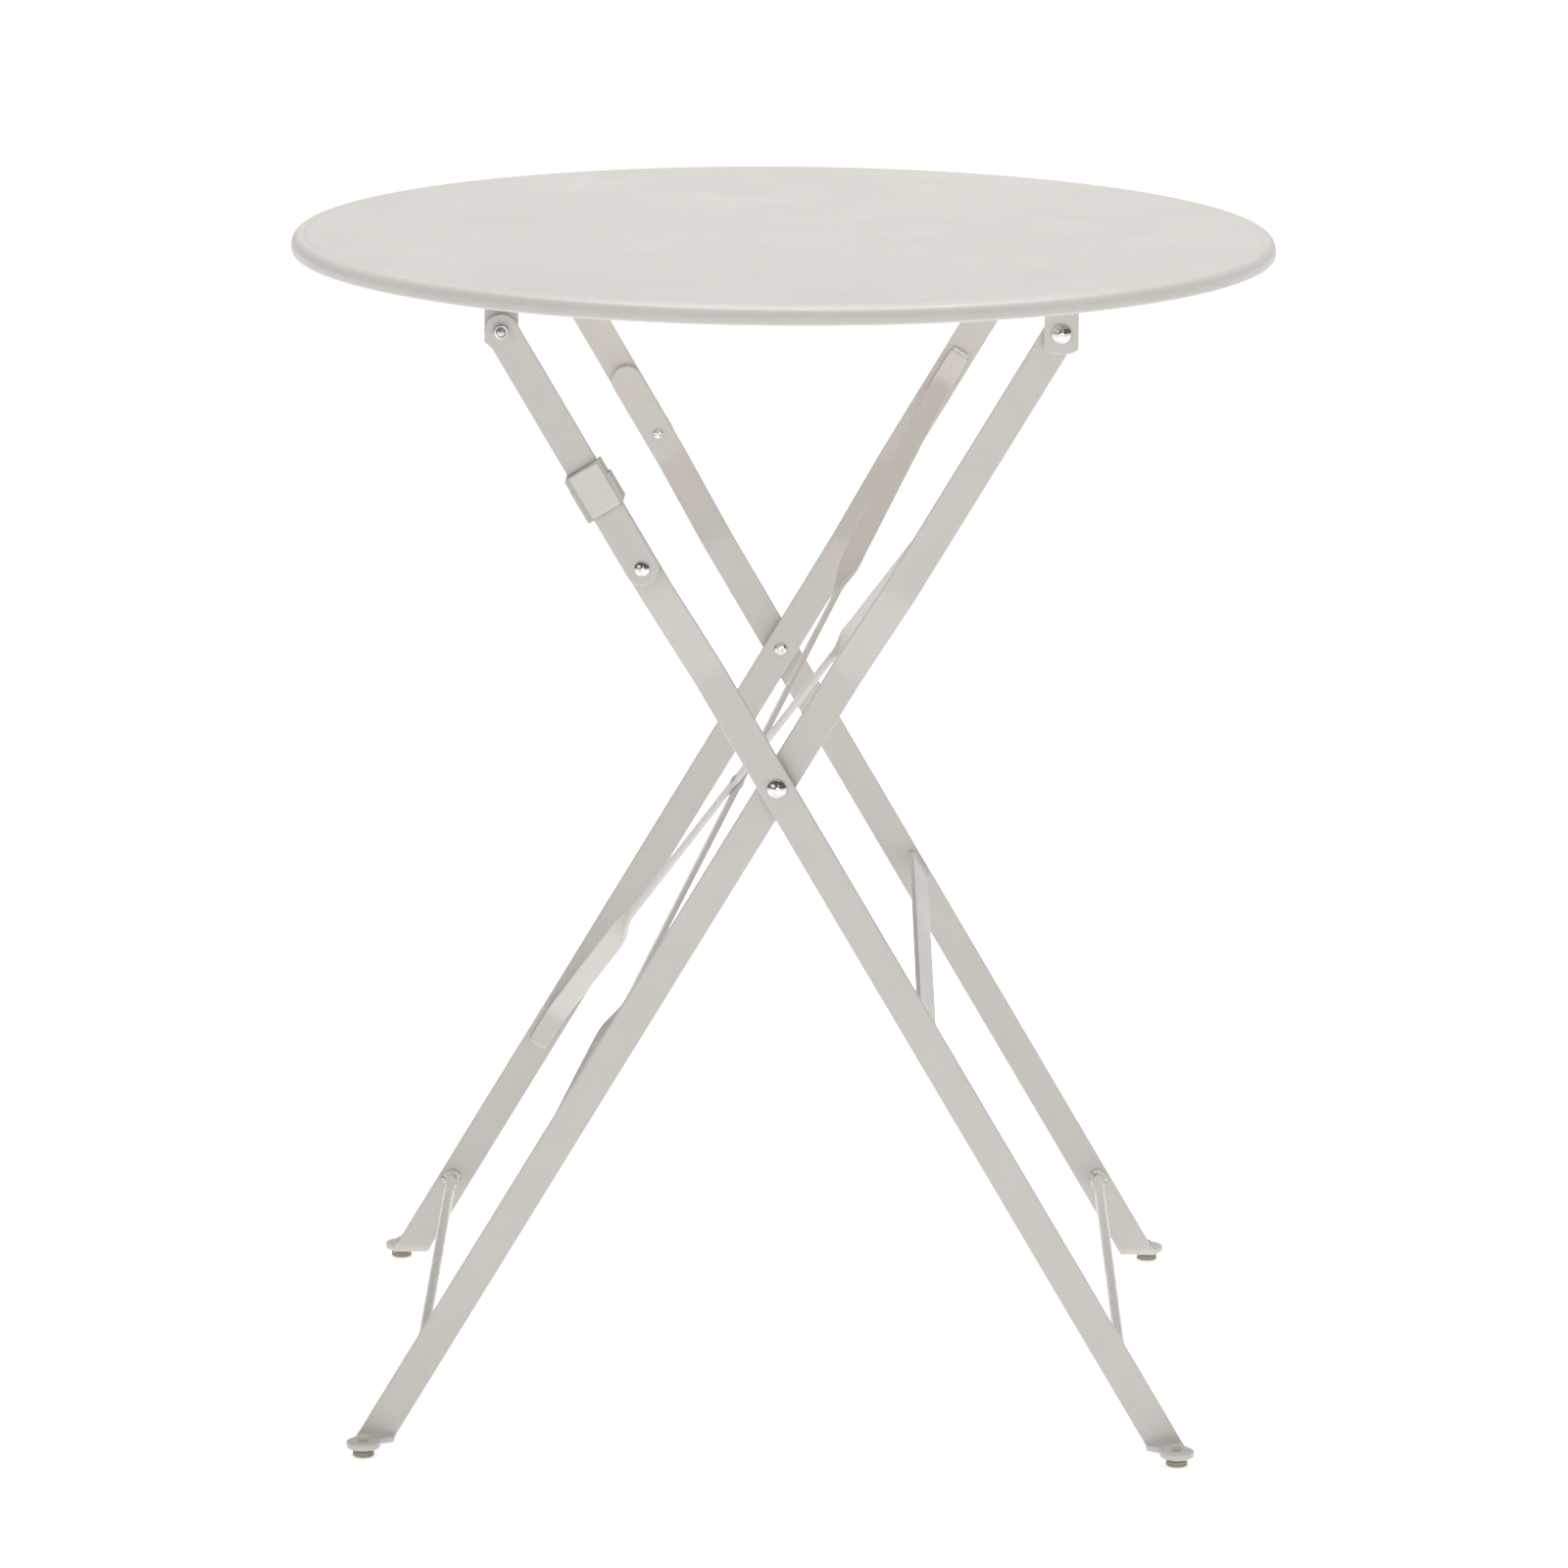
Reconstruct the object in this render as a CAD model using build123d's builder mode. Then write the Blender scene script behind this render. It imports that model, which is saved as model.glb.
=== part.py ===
from build123d import *
import math
import os

# Folding bistro table: a round pressed-steel top on two crossed pairs of flat bars.
# Frame: origin on the floor under the centre of the top, +X to the right of the
# scissor's face, +Y away through the frame (pivot axes run along Y), +Z up. Millimetres.
#
# Bars are described by three numbers measured from the crossing pivot:
#   s  distance along the bar (up is positive)
#   w  distance across the bar's width (towards +X is positive)
#   q  distance outwards along the pivot axis; q = -Y, so the front bars have positive q.

os.makedirs("parts", exist_ok=True)

# ---- table top ----
top_radius = 300.0
top_height = 712.0
sheet = 1.2                   # sheet thickness
rim_depth = 11.0              # from the top face to the lower edge of the rim

# ---- pivots, in the X-Z plane ----
pivot_x = 163.0               # hinge lines of the two rails
pivot_z = 687.0
cross_x, cross_z = -1.0, 411.0
link_joint_s = 157.4          # link joint on the long bar, measured from the crossing

# ---- flat bars ----
bar_w = 20.0                  # bar width
bar_t = 4.0                   # bar thickness
half_w = bar_w / 2
layer_gap = 2.4               # between the inner and the outer pair of bars
b_low = 206.0                 # inner face of the inner pair below the joggle
joggle = 16.0                 # both pairs step outwards by this much above the crossing
joggle_s0, joggle_s1 = 80.0, 140.0
a_low = b_low + bar_t + layer_gap
b_up = b_low + joggle
a_up = a_low + joggle
link_gap = 0.4
link_q = a_up + bar_t + link_gap          # inner face of the links
a_top_s = 207.0               # the long bars run on past the link joint to here

# ---- feet ----
flange_z = 5.6                # underside of the foot flange
bend_r = 3.0                  # inside radius of the foot bend
pad_reach = 16.6              # pad centre, outwards from the bar's inner face
pad_r, stem_r = 6.5, 2.9

# ---- fasteners ----
shank_r = 3.0
run = 0.05                    # radial clearance of a turning joint
head_r = 5.85
link_head_r = 4.6
link_shank_r = 2.5
bolt_r, bolt_flat = 2.5, 4.0   # M5 bolts and nuts at the links' upper pivots

dir_a = Vector(-pivot_x - cross_x, 0, pivot_z - cross_z).normalized()
dir_b = Vector(pivot_x - cross_x, 0, pivot_z - cross_z).normalized()
nor_a = Vector(dir_a.Z, 0, -dir_a.X)
nor_b = Vector(dir_b.Z, 0, -dir_b.X)
cross = Vector(cross_x, 0, cross_z)
link_top_s = (Vector(-pivot_x, 0, pivot_z) - cross).length


def at(direction, normal, s, w, q=0.0):
    """World point of bar coordinates."""
    return cross + direction * s + normal * w + Vector(0, -q, 0)


def xz(v):
    return (v.X, v.Z)


def miter(path, half):
    """Closed outline of a strip of thickness 2*half along an open 2-D path."""
    sides = ([], [])
    for i, (x, y) in enumerate(path):
        n = []
        for j in (i - 1, i):
            if 0 <= j < len(path) - 1:
                dx, dy = path[j + 1][0] - path[j][0], path[j + 1][1] - path[j][1]
                length = math.hypot(dx, dy)
                n.append((-dy / length, dx / length))
        mx, my = sum(k[0] for k in n) / len(n), sum(k[1] for k in n) / len(n)
        scale = half / (mx * mx + my * my)
        sides[0].append((x + mx * scale, y + my * scale))
        sides[1].append((x - mx * scale, y - my * scale))
    return sides[0] + sides[1][::-1]


plane_a = Plane(origin=(cross_x, 0, cross_z), x_dir=tuple(dir_a), z_dir=tuple(nor_a))
plane_b = Plane(origin=(cross_x, 0, cross_z), x_dir=tuple(dir_b), z_dir=tuple(nor_b))

bend_axis_z = flange_z + bar_t + bend_r


def bar_outline(direction, normal, top_s):
    """Corners of a bar in the X-Z plane, cut level above the foot bend."""
    low = []
    for w in (half_w, -half_w):
        edge = cross + normal * w
        s = (bend_axis_z - edge.Z) / direction.Z
        low.append(xz(edge + direction * s))
    return [low[1], low[0], xz(at(direction, normal, top_s - half_w, half_w)),
            xz(at(direction, normal, top_s - half_w, -half_w))]


def foot_x(direction, normal, w, z):
    edge = cross + normal * w
    return edge.X + direction.X * (z - edge.Z) / direction.Z


# ================= table top =================
# One pressed disc: flat face, a shallow groove and bead at the edge, a short
# skirt and a rolled hem.
with BuildPart() as table_top:
    with BuildSketch(Plane.XZ):
        with BuildLine():
            Polyline(
                (0, top_height), (291.0, top_height), (293.2, top_height - 0.9),
                (295.4, top_height - 0.6), (top_radius, top_height - 4.6),
                (top_radius, top_height - rim_depth), (top_radius - 3.2, top_height - rim_depth),
                (top_radius - 3.2, top_height - rim_depth + 2.6),
                (top_radius - sheet - 0.2, top_height - rim_depth + 3.6),
                (top_radius - sheet - 0.2, top_height - 5.4), (294.6, top_height - 2.2),
                (290.5, top_height - sheet), (0, top_height - sheet), close=True)
        make_face()
    revolve(axis=Axis.Z)
table_top.part.label = "table_top"
export_step(table_top.part, "parts/table_top.step")

# ================= hinge rails under the top =================
# A flat bar across the underside; both ends turn down as ears for the pivots.
rail_top = top_height - sheet
ear_out = a_up + bar_t
ear_bottom = pivot_z - 10.4
ear_cut, ear_drop_left, ear_drop_right = 5.0, 4.8, 2.4


def rail_points():
    return [(-ear_out, ear_bottom), (-a_up, ear_bottom), (-a_up, rail_top - bar_t),
            (a_up, rail_top - bar_t), (a_up, ear_bottom), (ear_out, ear_bottom),
            (ear_out, rail_top), (-ear_out, rail_top)]


def ear_outline(x, drop):
    return [(x - half_w, rail_top), (x - half_w, ear_bottom + drop), (x - half_w + ear_cut, ear_bottom),
            (x + half_w - ear_cut, ear_bottom), (x + half_w, ear_bottom + drop), (x + half_w, rail_top)]


with BuildPart() as top_rail_left:
    with BuildSketch(Plane.YZ.offset(-pivot_x)) as rail_sk:
        Polygon(*rail_points(), align=None)
        fillet(rail_sk.vertices().group_by(Axis.Y)[-1], radius=3.5)
        fillet([v for v in rail_sk.vertices() if abs(v.Y - (rail_top - bar_t)) < 0.1], radius=1.5)
    extrude(amount=half_w, both=True)
    with BuildSketch(Plane.XZ):
        Polygon(*ear_outline(-pivot_x, ear_drop_left), align=None)
    extrude(amount=300, both=True, mode=Mode.INTERSECT)
    with BuildSketch(Plane.XZ):
        with Locations((-pivot_x, pivot_z)):
            Circle(bolt_r)
    extrude(amount=300, both=True, mode=Mode.SUBTRACT)
top_rail_left.part.label = "top_rail_left"
export_step(top_rail_left.part, "parts/top_rail_left.step")

with BuildPart() as top_rail_right:
    with BuildSketch(Plane.YZ.offset(pivot_x)) as rail_sk:
        Polygon(*rail_points(), align=None)
        fillet(rail_sk.vertices().group_by(Axis.Y)[-1], radius=3.5)
        fillet([v for v in rail_sk.vertices() if abs(v.Y - (rail_top - bar_t)) < 0.1], radius=1.5)
    extrude(amount=half_w, both=True)
    with BuildSketch(Plane.XZ):
        Polygon(*ear_outline(pivot_x, ear_drop_right), align=None)
    extrude(amount=300, both=True, mode=Mode.INTERSECT)
    with BuildSketch(Plane.XZ):
        with Locations((pivot_x, pivot_z)):
            Circle(shank_r + run)
    extrude(amount=300, both=True, mode=Mode.SUBTRACT)
top_rail_right.part.label = "top_rail_right"
export_step(top_rail_right.part, "parts/top_rail_right.step")


# ================= feet: bend and flange, one each for the two bar directions =================
def foot_ring(q_in):
    """Y-Z outline corners of the quarter bend, front side."""
    yc, zc = -(q_in + bar_t + bend_r), bend_axis_z
    return yc, zc


with BuildPart() as foot_a:
    yc, zc = foot_ring(a_low)
    with BuildSketch(Plane.YZ.offset(200)):
        with BuildLine():
            Line((yc + bend_r, zc), (yc + bend_r + bar_t, zc))
            CenterArc((yc, zc), bend_r + bar_t, 0, -90)
            Line((yc, zc - bend_r - bar_t), (yc, zc - bend_r))
            CenterArc((yc, zc), bend_r, 0, -90)
        make_face()
    extrude(amount=80)
    with BuildSketch(Plane.XZ):
        Polygon((foot_x(dir_a, nor_a, -half_w, 0), 0), (foot_x(dir_a, nor_a, half_w, 0), 0),
                (foot_x(dir_a, nor_a, half_w, 20), 20), (foot_x(dir_a, nor_a, -half_w, 20), 20), align=None)
    extrude(amount=300, both=True, mode=Mode.INTERSECT)
    pad_ax = foot_x(dir_a, nor_a, 0, 6.5) + 5.6
    pad_ay = -(a_low + pad_reach)
    with BuildSketch(Plane.XY.offset(flange_z)):
        Polygon((foot_x(dir_a, nor_a, -half_w, flange_z + 2), yc), (foot_x(dir_a, nor_a, half_w, flange_z + 2), yc),
                (pad_ax + 9.3, pad_ay + 4.4), (pad_ax - 9.3, pad_ay + 4.4), align=None)
        with Locations((pad_ax, pad_ay)):
            Circle(10.3)
    extrude(amount=bar_t)
    with Locations(Plane.XY.offset(flange_z).shift_origin((pad_ax, pad_ay, flange_z))):
        Hole(radius=stem_r)

with BuildPart() as foot_b:
    yc, zc = foot_ring(b_low)
    with BuildSketch(Plane.YZ.offset(-280)):
        with BuildLine():
            Line((yc + bend_r, zc), (yc + bend_r + bar_t, zc))
            CenterArc((yc, zc), bend_r + bar_t, 0, -90)
            Line((yc, zc - bend_r - bar_t), (yc, zc - bend_r))
            CenterArc((yc, zc), bend_r, 0, -90)
        make_face()
    extrude(amount=80)
    with BuildSketch(Plane.XZ):
        Polygon((foot_x(dir_b, nor_b, -half_w, 0), 0), (foot_x(dir_b, nor_b, half_w, 0), 0),
                (foot_x(dir_b, nor_b, half_w, 20), 20), (foot_x(dir_b, nor_b, -half_w, 20), 20), align=None)
    extrude(amount=300, both=True, mode=Mode.INTERSECT)
    pad_bx = foot_x(dir_b, nor_b, 0, 6.5) - 5.6
    pad_by = -(b_low + pad_reach)
    with BuildSketch(Plane.XY.offset(flange_z)):
        Polygon((foot_x(dir_b, nor_b, -half_w, flange_z + 2), yc), (foot_x(dir_b, nor_b, half_w, flange_z + 2), yc),
                (pad_bx + 9.3, pad_by + 4.4), (pad_bx - 9.3, pad_by + 4.4), align=None)
        with Locations((pad_bx, pad_by)):
            Circle(10.3)
    extrude(amount=bar_t)
    with Locations(Plane.XY.offset(flange_z).shift_origin((pad_bx, pad_by, flange_z))):
        Hole(radius=stem_r)

# ================= long bars: outer pair =================
with BuildPart() as leg_a_front:
    with BuildSketch(plane_a) as bar_sk:
        Polygon((-520, a_low), (joggle_s0, a_low), (joggle_s1, a_up), (a_top_s + 5, a_up),
                (a_top_s + 5, a_up + bar_t), (joggle_s1, a_up + bar_t), (joggle_s0, a_low + bar_t),
                (-520, a_low + bar_t), align=None)
        bends = [v for v in bar_sk.vertices() if any(abs(v.X - s) < 0.1 for s in (joggle_s0, joggle_s1))]
        fillet(bends, radius=40)
    extrude(amount=half_w, both=True)
    with BuildSketch(Plane.XZ):
        Polygon(*bar_outline(dir_a, nor_a, a_top_s), align=None)
        with Locations(xz(at(dir_a, nor_a, a_top_s - half_w, 0))):
            Circle(half_w)
    extrude(amount=300, both=True, mode=Mode.INTERSECT)
    add(foot_a.part)
    with BuildSketch(Plane.XZ):
        with Locations(xz(cross)):
            Circle(shank_r + run)
        with Locations(xz(at(dir_a, nor_a, link_joint_s, 0))):
            Circle(link_shank_r)
    extrude(amount=300, both=True, mode=Mode.SUBTRACT)
leg_a_front.part.label = "leg_a_front"
export_step(leg_a_front.part, "parts/leg_a_front.step")

with BuildPart() as leg_a_rear:
    add(mirror(leg_a_front.part, about=Plane.XZ, mode=Mode.PRIVATE))
leg_a_rear.part.label = "leg_a_rear"
export_step(leg_a_rear.part, "parts/leg_a_rear.step")

# ================= long bars: inner pair =================
b_top_s = (Vector(pivot_x, 0, pivot_z) - cross).length + half_w
with BuildPart() as leg_b_front:
    with BuildSketch(plane_b) as bar_sk:
        Polygon((-520, b_low), (joggle_s0, b_low), (joggle_s1, b_up), (b_top_s + 5, b_up),
                (b_top_s + 5, b_up + bar_t), (joggle_s1, b_up + bar_t), (joggle_s0, b_low + bar_t),
                (-520, b_low + bar_t), align=None)
        bends = [v for v in bar_sk.vertices() if any(abs(v.X - s) < 0.1 for s in (joggle_s0, joggle_s1))]
        fillet(bends, radius=40)
    extrude(amount=half_w, both=True)
    with BuildSketch(Plane.XZ):
        Polygon(*bar_outline(dir_b, nor_b, b_top_s), align=None)
        with Locations((pivot_x, pivot_z)):
            Circle(half_w)
    extrude(amount=300, both=True, mode=Mode.INTERSECT)
    add(foot_b.part)
    with BuildSketch(Plane.XZ):
        with Locations(xz(cross), (pivot_x, pivot_z)):
            Circle(shank_r)
    extrude(amount=300, both=True, mode=Mode.SUBTRACT)
leg_b_front.part.label = "leg_b_front"
export_step(leg_b_front.part, "parts/leg_b_front.step")

with BuildPart() as leg_b_rear:
    add(mirror(leg_b_front.part, about=Plane.XZ, mode=Mode.PRIVATE))
leg_b_rear.part.label = "leg_b_rear"
export_step(leg_b_rear.part, "parts/leg_b_rear.step")

# ================= links from the left rail to the long bars =================
link_ends = (xz(at(dir_a, nor_a, link_joint_s, 0)), (-pivot_x, pivot_z))


def link_corners():
    return [xz(at(dir_a, nor_a, link_joint_s, half_w)), xz(at(dir_a, nor_a, link_top_s, half_w)),
            xz(at(dir_a, nor_a, link_top_s, -half_w)), xz(at(dir_a, nor_a, link_joint_s, -half_w))]


with BuildPart() as link_front:
    with BuildSketch(Plane.XZ.offset(link_q)):
        Polygon(*link_corners(), align=None)
        with Locations(*link_ends):
            Circle(half_w)
        with Locations(link_ends[0]):
            Circle(link_shank_r, mode=Mode.SUBTRACT)
        with Locations(link_ends[1]):
            Circle(bolt_r + run, mode=Mode.SUBTRACT)
    extrude(amount=bar_t)
link_front.part.label = "link_front"
export_step(link_front.part, "parts/link_front.step")

with BuildPart() as link_rear:
    add(mirror(link_front.part, about=Plane.XZ, mode=Mode.PRIVATE))
link_rear.part.label = "link_rear"
export_step(link_rear.part, "parts/link_rear.step")

# ================= cross pieces =================
stretcher_w = 4.5
# Flat stretcher between the outer pair, edge-welded near the bars' upper edge.
with BuildPart() as flat_stretcher:
    with BuildSketch(plane_a.offset(stretcher_w)):
        with Locations((-168.0, 0)):
            Rectangle(19.0, 2 * a_low)
    extrude(amount=3.0)
flat_stretcher.part.label = "flat_stretcher"
export_step(flat_stretcher.part, "parts/flat_stretcher.step")

rod_r = 3.3
rod_a = at(dir_a, nor_a, -409.8, 2.5)
rod_b = at(dir_b, nor_b, -412.8, -1.9)
with BuildPart() as foot_rod_a:
    with BuildSketch(Plane.XZ.offset(-a_low)):
        with Locations(xz(rod_a)):
            Circle(rod_r)
    extrude(amount=2 * a_low)
foot_rod_a.part.label = "foot_rod_a"
export_step(foot_rod_a.part, "parts/foot_rod_a.step")

with BuildPart() as foot_rod_b:
    with BuildSketch(Plane.XZ.offset(-b_low)):
        with Locations(xz(rod_b)):
            Circle(rod_r)
    extrude(amount=2 * b_low)
foot_rod_b.part.label = "foot_rod_b"
export_step(foot_rod_b.part, "parts/foot_rod_b.step")

# ================= twisted diagonal braces of the inner pair =================
# Each is one flat strip: its ends lie face-on between the bars, a quarter turn
# brings the middle edge-on, and the two middles cross flat against each other.
brace_w, brace_t = 13.0, 3.0
tab_len = 22.0
brace_hi = (200.0, b_up - brace_t / 2)
brace_lo = (-282.0, -(b_low - brace_t / 2))
slope = (brace_hi[1] - brace_lo[1]) / (brace_hi[0] - brace_lo[0])
twist_hi, twist_lo = (94.0, 67.0), (-178.0, -208.0)
brace_dir = (dir_b * 1.0 + Vector(0, -slope, 0)).normalized()
mid_offset = -(brace_t / 2 + 0.05)   # the edge-on middles pass each other on either side of the mid-line
brace_cross_s = brace_hi[0] - brace_hi[1] / slope


def on_line(s):
    return brace_hi[1] + (s - brace_hi[0]) * slope


def brace_plane(s, turn, w):
    """Section plane on the diagonal at s; turn 0 is face-on, 90 is edge-on."""
    across = brace_dir.cross(nor_b)
    x_dir = nor_b * math.cos(math.radians(turn)) + across * math.sin(math.radians(turn))
    return Plane(origin=tuple(at(dir_b, nor_b, s, w, on_line(s))), x_dir=tuple(x_dir), z_dir=tuple(brace_dir))


with BuildPart() as brace_front_high:
    with BuildSketch(plane_b):
        Polygon(*miter([(brace_hi[0] + tab_len, brace_hi[1]), brace_hi, (twist_hi[0], on_line(twist_hi[0]))], brace_t / 2), align=None)
        Polygon(*miter([(brace_lo[0] - tab_len, brace_lo[1]), brace_lo, (twist_lo[1], on_line(twist_lo[1]))], brace_t / 2), align=None)
    extrude(amount=brace_w / 2, both=True)
    for start, end in (twist_hi, (twist_lo[1], twist_lo[0])):
        turns = 6
        for k in range(turns):
            for step in (k, k + 1):
                f = step / turns
                with BuildSketch(brace_plane(start + (end - start) * f, 90 * f, mid_offset * f)):
                    Rectangle(brace_w, brace_t)
            loft(ruled=True)
    with BuildSketch(brace_plane(twist_lo[0], 90, mid_offset)):
        Rectangle(brace_w, brace_t)
    extrude(amount=(at(dir_b, nor_b, twist_hi[1], 0, on_line(twist_hi[1])) - at(dir_b, nor_b, twist_lo[0], 0, on_line(twist_lo[0]))).length)
    with BuildSketch(plane_b):
        with Locations((brace_cross_s, 0)):
            Circle(2.0)
    extrude(amount=30, both=True, mode=Mode.SUBTRACT)
brace_front_high.part.label = "brace_front_high"
export_step(brace_front_high.part, "parts/brace_front_high.step")

# The other diagonal is the first one turned half a turn about the bars' mid-line.
with BuildPart() as brace_rear_high:
    add(brace_front_high.part.rotate(Axis(origin=(cross_x, 0, cross_z), direction=tuple(dir_b)), 180))
brace_rear_high.part.label = "brace_rear_high"
export_step(brace_rear_high.part, "parts/brace_rear_high.step")

with BuildPart() as brace_rivet:
    with BuildSketch(plane_b.offset(mid_offset - brace_t / 2)):
        with Locations((brace_cross_s, 0)):
            Circle(2.0)
    extrude(amount=brace_t - 2 * mid_offset)
    with BuildSketch(plane_b.offset(-mid_offset + brace_t / 2)):
        with Locations((brace_cross_s, 0)):
            Circle(3.6)
    extrude(amount=1.5, taper=25)
    with BuildSketch(plane_b.offset(mid_offset - brace_t / 2)):
        with Locations((brace_cross_s, 0)):
            Circle(3.6)
    extrude(amount=-1.5, taper=25)
brace_rivet.part.label = "brace_rivet"
export_step(brace_rivet.part, "parts/brace_rivet.step")


# ================= rivets, washers, bolts, nuts =================
def turning_plane(p):
    """Plane whose local x runs outwards (q) and local y is the radius, at pivot p."""
    return Plane(origin=(p.X, 0, p.Z), x_dir=(0, -1, 0), z_dir=(1, 0, 0))


def turning_axis(p):
    return Axis(origin=(p.X, 0, p.Z), direction=(0, -1, 0))


def dome_point(q, radius, height):
    """Half-way point of a spherical head's profile, from its edge to its crown."""
    sphere = (radius * radius + height * height) / (2 * height)
    half_angle = math.asin(radius / sphere) / 2
    return (q + height - sphere + sphere * math.cos(half_angle), sphere * math.sin(half_angle))


pivot_l = Vector(-pivot_x, 0, pivot_z)
pivot_r = Vector(pivot_x, 0, pivot_z)
pivot_j = at(dir_a, nor_a, link_joint_s, 0)

with BuildPart() as crossing_rivets:
    base = a_low + bar_t + 0.2
    with BuildSketch(turning_plane(cross)):
        with BuildLine():
            Polyline((b_low - 1.6, 0), (b_low - 1.6, 3.2), (b_low - 0.6, 4.0), (b_low, 4.0), (b_low, shank_r),
                     (base, shank_r), (base, head_r), (base + 0.8, head_r))
            ThreePointArc((base + 0.8, head_r), dome_point(base + 0.8, head_r, 2.4), (base + 3.2, 0))
            Line((base + 3.2, 0), (b_low - 1.6, 0))
        make_face()
    revolve(axis=turning_axis(cross))
    mirror(about=Plane.XZ)
crossing_rivets.part.label = "crossing_rivets"
export_step(crossing_rivets.part, "parts/crossing_rivets.step")

with BuildPart() as top_rivets:
    base = ear_out + 0.2
    with BuildSketch(turning_plane(pivot_r)):
        with BuildLine():
            Polyline((b_up - 1.6, 0), (b_up - 1.6, 3.2), (b_up - 0.6, 4.0), (b_up, 4.0), (b_up, shank_r),
                     (base, shank_r), (base, head_r), (base + 0.8, head_r))
            ThreePointArc((base + 0.8, head_r), dome_point(base + 0.8, head_r, 2.4), (base + 3.2, 0))
            Line((base + 3.2, 0), (b_up - 1.6, 0))
        make_face()
    revolve(axis=turning_axis(pivot_r))
    mirror(about=Plane.XZ)
top_rivets.part.label = "top_rivets"
export_step(top_rivets.part, "parts/top_rivets.step")

with BuildPart() as pivot_washers:
    with BuildSketch(Plane.XZ.offset(b_low + bar_t)):
        with Locations(xz(cross)):
            Circle(7.0)
            Circle(shank_r + run, mode=Mode.SUBTRACT)
    extrude(amount=layer_gap - 0.3)
    with BuildSketch(Plane.XZ.offset(b_up + bar_t)):
        with Locations((pivot_x, pivot_z)):
            Circle(7.0)
            Circle(shank_r + run, mode=Mode.SUBTRACT)
    extrude(amount=layer_gap - 0.3)
    mirror(about=Plane.XZ)
pivot_washers.part.label = "pivot_washers"
export_step(pivot_washers.part, "parts/pivot_washers.step")

# The link joint's rivets: the head and its half of the shank sit in the link,
# the tail and the other half sit in the long bar.
with BuildPart() as link_rivet_heads:
    base = link_q + bar_t
    with BuildSketch(turning_plane(pivot_j)):
        with BuildLine():
            Polyline((link_q + 0.05, 0), (link_q + 0.05, link_shank_r), (base, link_shank_r), (base, link_head_r), (base + 0.6, link_head_r))
            ThreePointArc((base + 0.6, link_head_r), dome_point(base + 0.6, link_head_r, 1.9), (base + 2.5, 0))
            Line((base + 2.5, 0), (link_q + 0.05, 0))
        make_face()
    revolve(axis=turning_axis(pivot_j))
    mirror(about=Plane.XZ)
link_rivet_heads.part.label = "link_rivet_heads"
export_step(link_rivet_heads.part, "parts/link_rivet_heads.step")

with BuildPart() as link_rivet_tails:
    with BuildSketch(turning_plane(pivot_j)):
        with BuildLine():
            Polyline((a_up - 1.4, 0), (a_up - 1.4, 2.6), (a_up - 0.6, 3.2), (a_up, 3.2), (a_up, link_shank_r),
                     (ear_out - 0.05, link_shank_r), (ear_out - 0.05, 0), close=True)
        make_face()
    revolve(axis=turning_axis(pivot_j))
    mirror(about=Plane.XZ)
link_rivet_tails.part.label = "link_rivet_tails"
export_step(link_rivet_tails.part, "parts/link_rivet_tails.step")

# Hexagon bolts at the links' upper pivots, heads inside the ears.
nut_q = link_q + bar_t + 0.3
nut_t = 4.4
with BuildPart() as link_bolts:
    with BuildSketch(Plane.XZ.offset(a_up)):
        with Locations((-pivot_x, pivot_z)):
            RegularPolygon(radius=bolt_flat, side_count=6, major_radius=False)
    extrude(amount=-3.6)
    with BuildSketch(Plane.XZ.offset(a_up)):
        with Locations((-pivot_x, pivot_z)):
            Circle(bolt_r)
    extrude(amount=nut_q + nut_t + 1.8 - a_up)
    chamfer(link_bolts.faces().sort_by(Axis.Y)[0].edges(), length=0.6)
    mirror(about=Plane.XZ)
link_bolts.part.label = "link_bolts"
export_step(link_bolts.part, "parts/link_bolts.step")

with BuildPart() as link_nuts:
    with BuildSketch(Plane.XZ.offset(nut_q)):
        with Locations((-pivot_x, pivot_z)):
            RegularPolygon(radius=bolt_flat, side_count=6, major_radius=False)
            Circle(bolt_r, mode=Mode.SUBTRACT)
    extrude(amount=nut_t)
    mirror(about=Plane.XZ)
link_nuts.part.label = "link_nuts"
export_step(link_nuts.part, "parts/link_nuts.step")

# ================= glides =================
with BuildPart() as glides_a:
    with BuildSketch(Plane.XY):
        with Locations((pad_ax, pad_ay), (pad_ax, -pad_ay)):
            Circle(pad_r)
    extrude(amount=3.6)
    fillet(glides_a.edges().filter_by(GeomType.CIRCLE), radius=0.8)
    with BuildSketch(Plane.XY.offset(3.6)):
        with Locations((pad_ax, pad_ay), (pad_ax, -pad_ay)):
            Circle(4.4)
    extrude(amount=flange_z - 3.6)
    with BuildSketch(Plane.XY.offset(flange_z)):
        with Locations((pad_ax, pad_ay), (pad_ax, -pad_ay)):
            Circle(stem_r)
    extrude(amount=bar_t + 3.4)
glides_a.part.label = "glides_a"
export_step(glides_a.part, "parts/glides_a.step")

with BuildPart() as glides_b:
    with BuildSketch(Plane.XY):
        with Locations((pad_bx, pad_by), (pad_bx, -pad_by)):
            Circle(pad_r)
    extrude(amount=3.6)
    fillet(glides_b.edges().filter_by(GeomType.CIRCLE), radius=0.8)
    with BuildSketch(Plane.XY.offset(3.6)):
        with Locations((pad_bx, pad_by), (pad_bx, -pad_by)):
            Circle(4.4)
    extrude(amount=flange_z - 3.6)
    with BuildSketch(Plane.XY.offset(flange_z)):
        with Locations((pad_bx, pad_by), (pad_bx, -pad_by)):
            Circle(stem_r)
    extrude(amount=bar_t + 3.4)
glides_b.part.label = "glides_b"
export_step(glides_b.part, "parts/glides_b.step")

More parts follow.
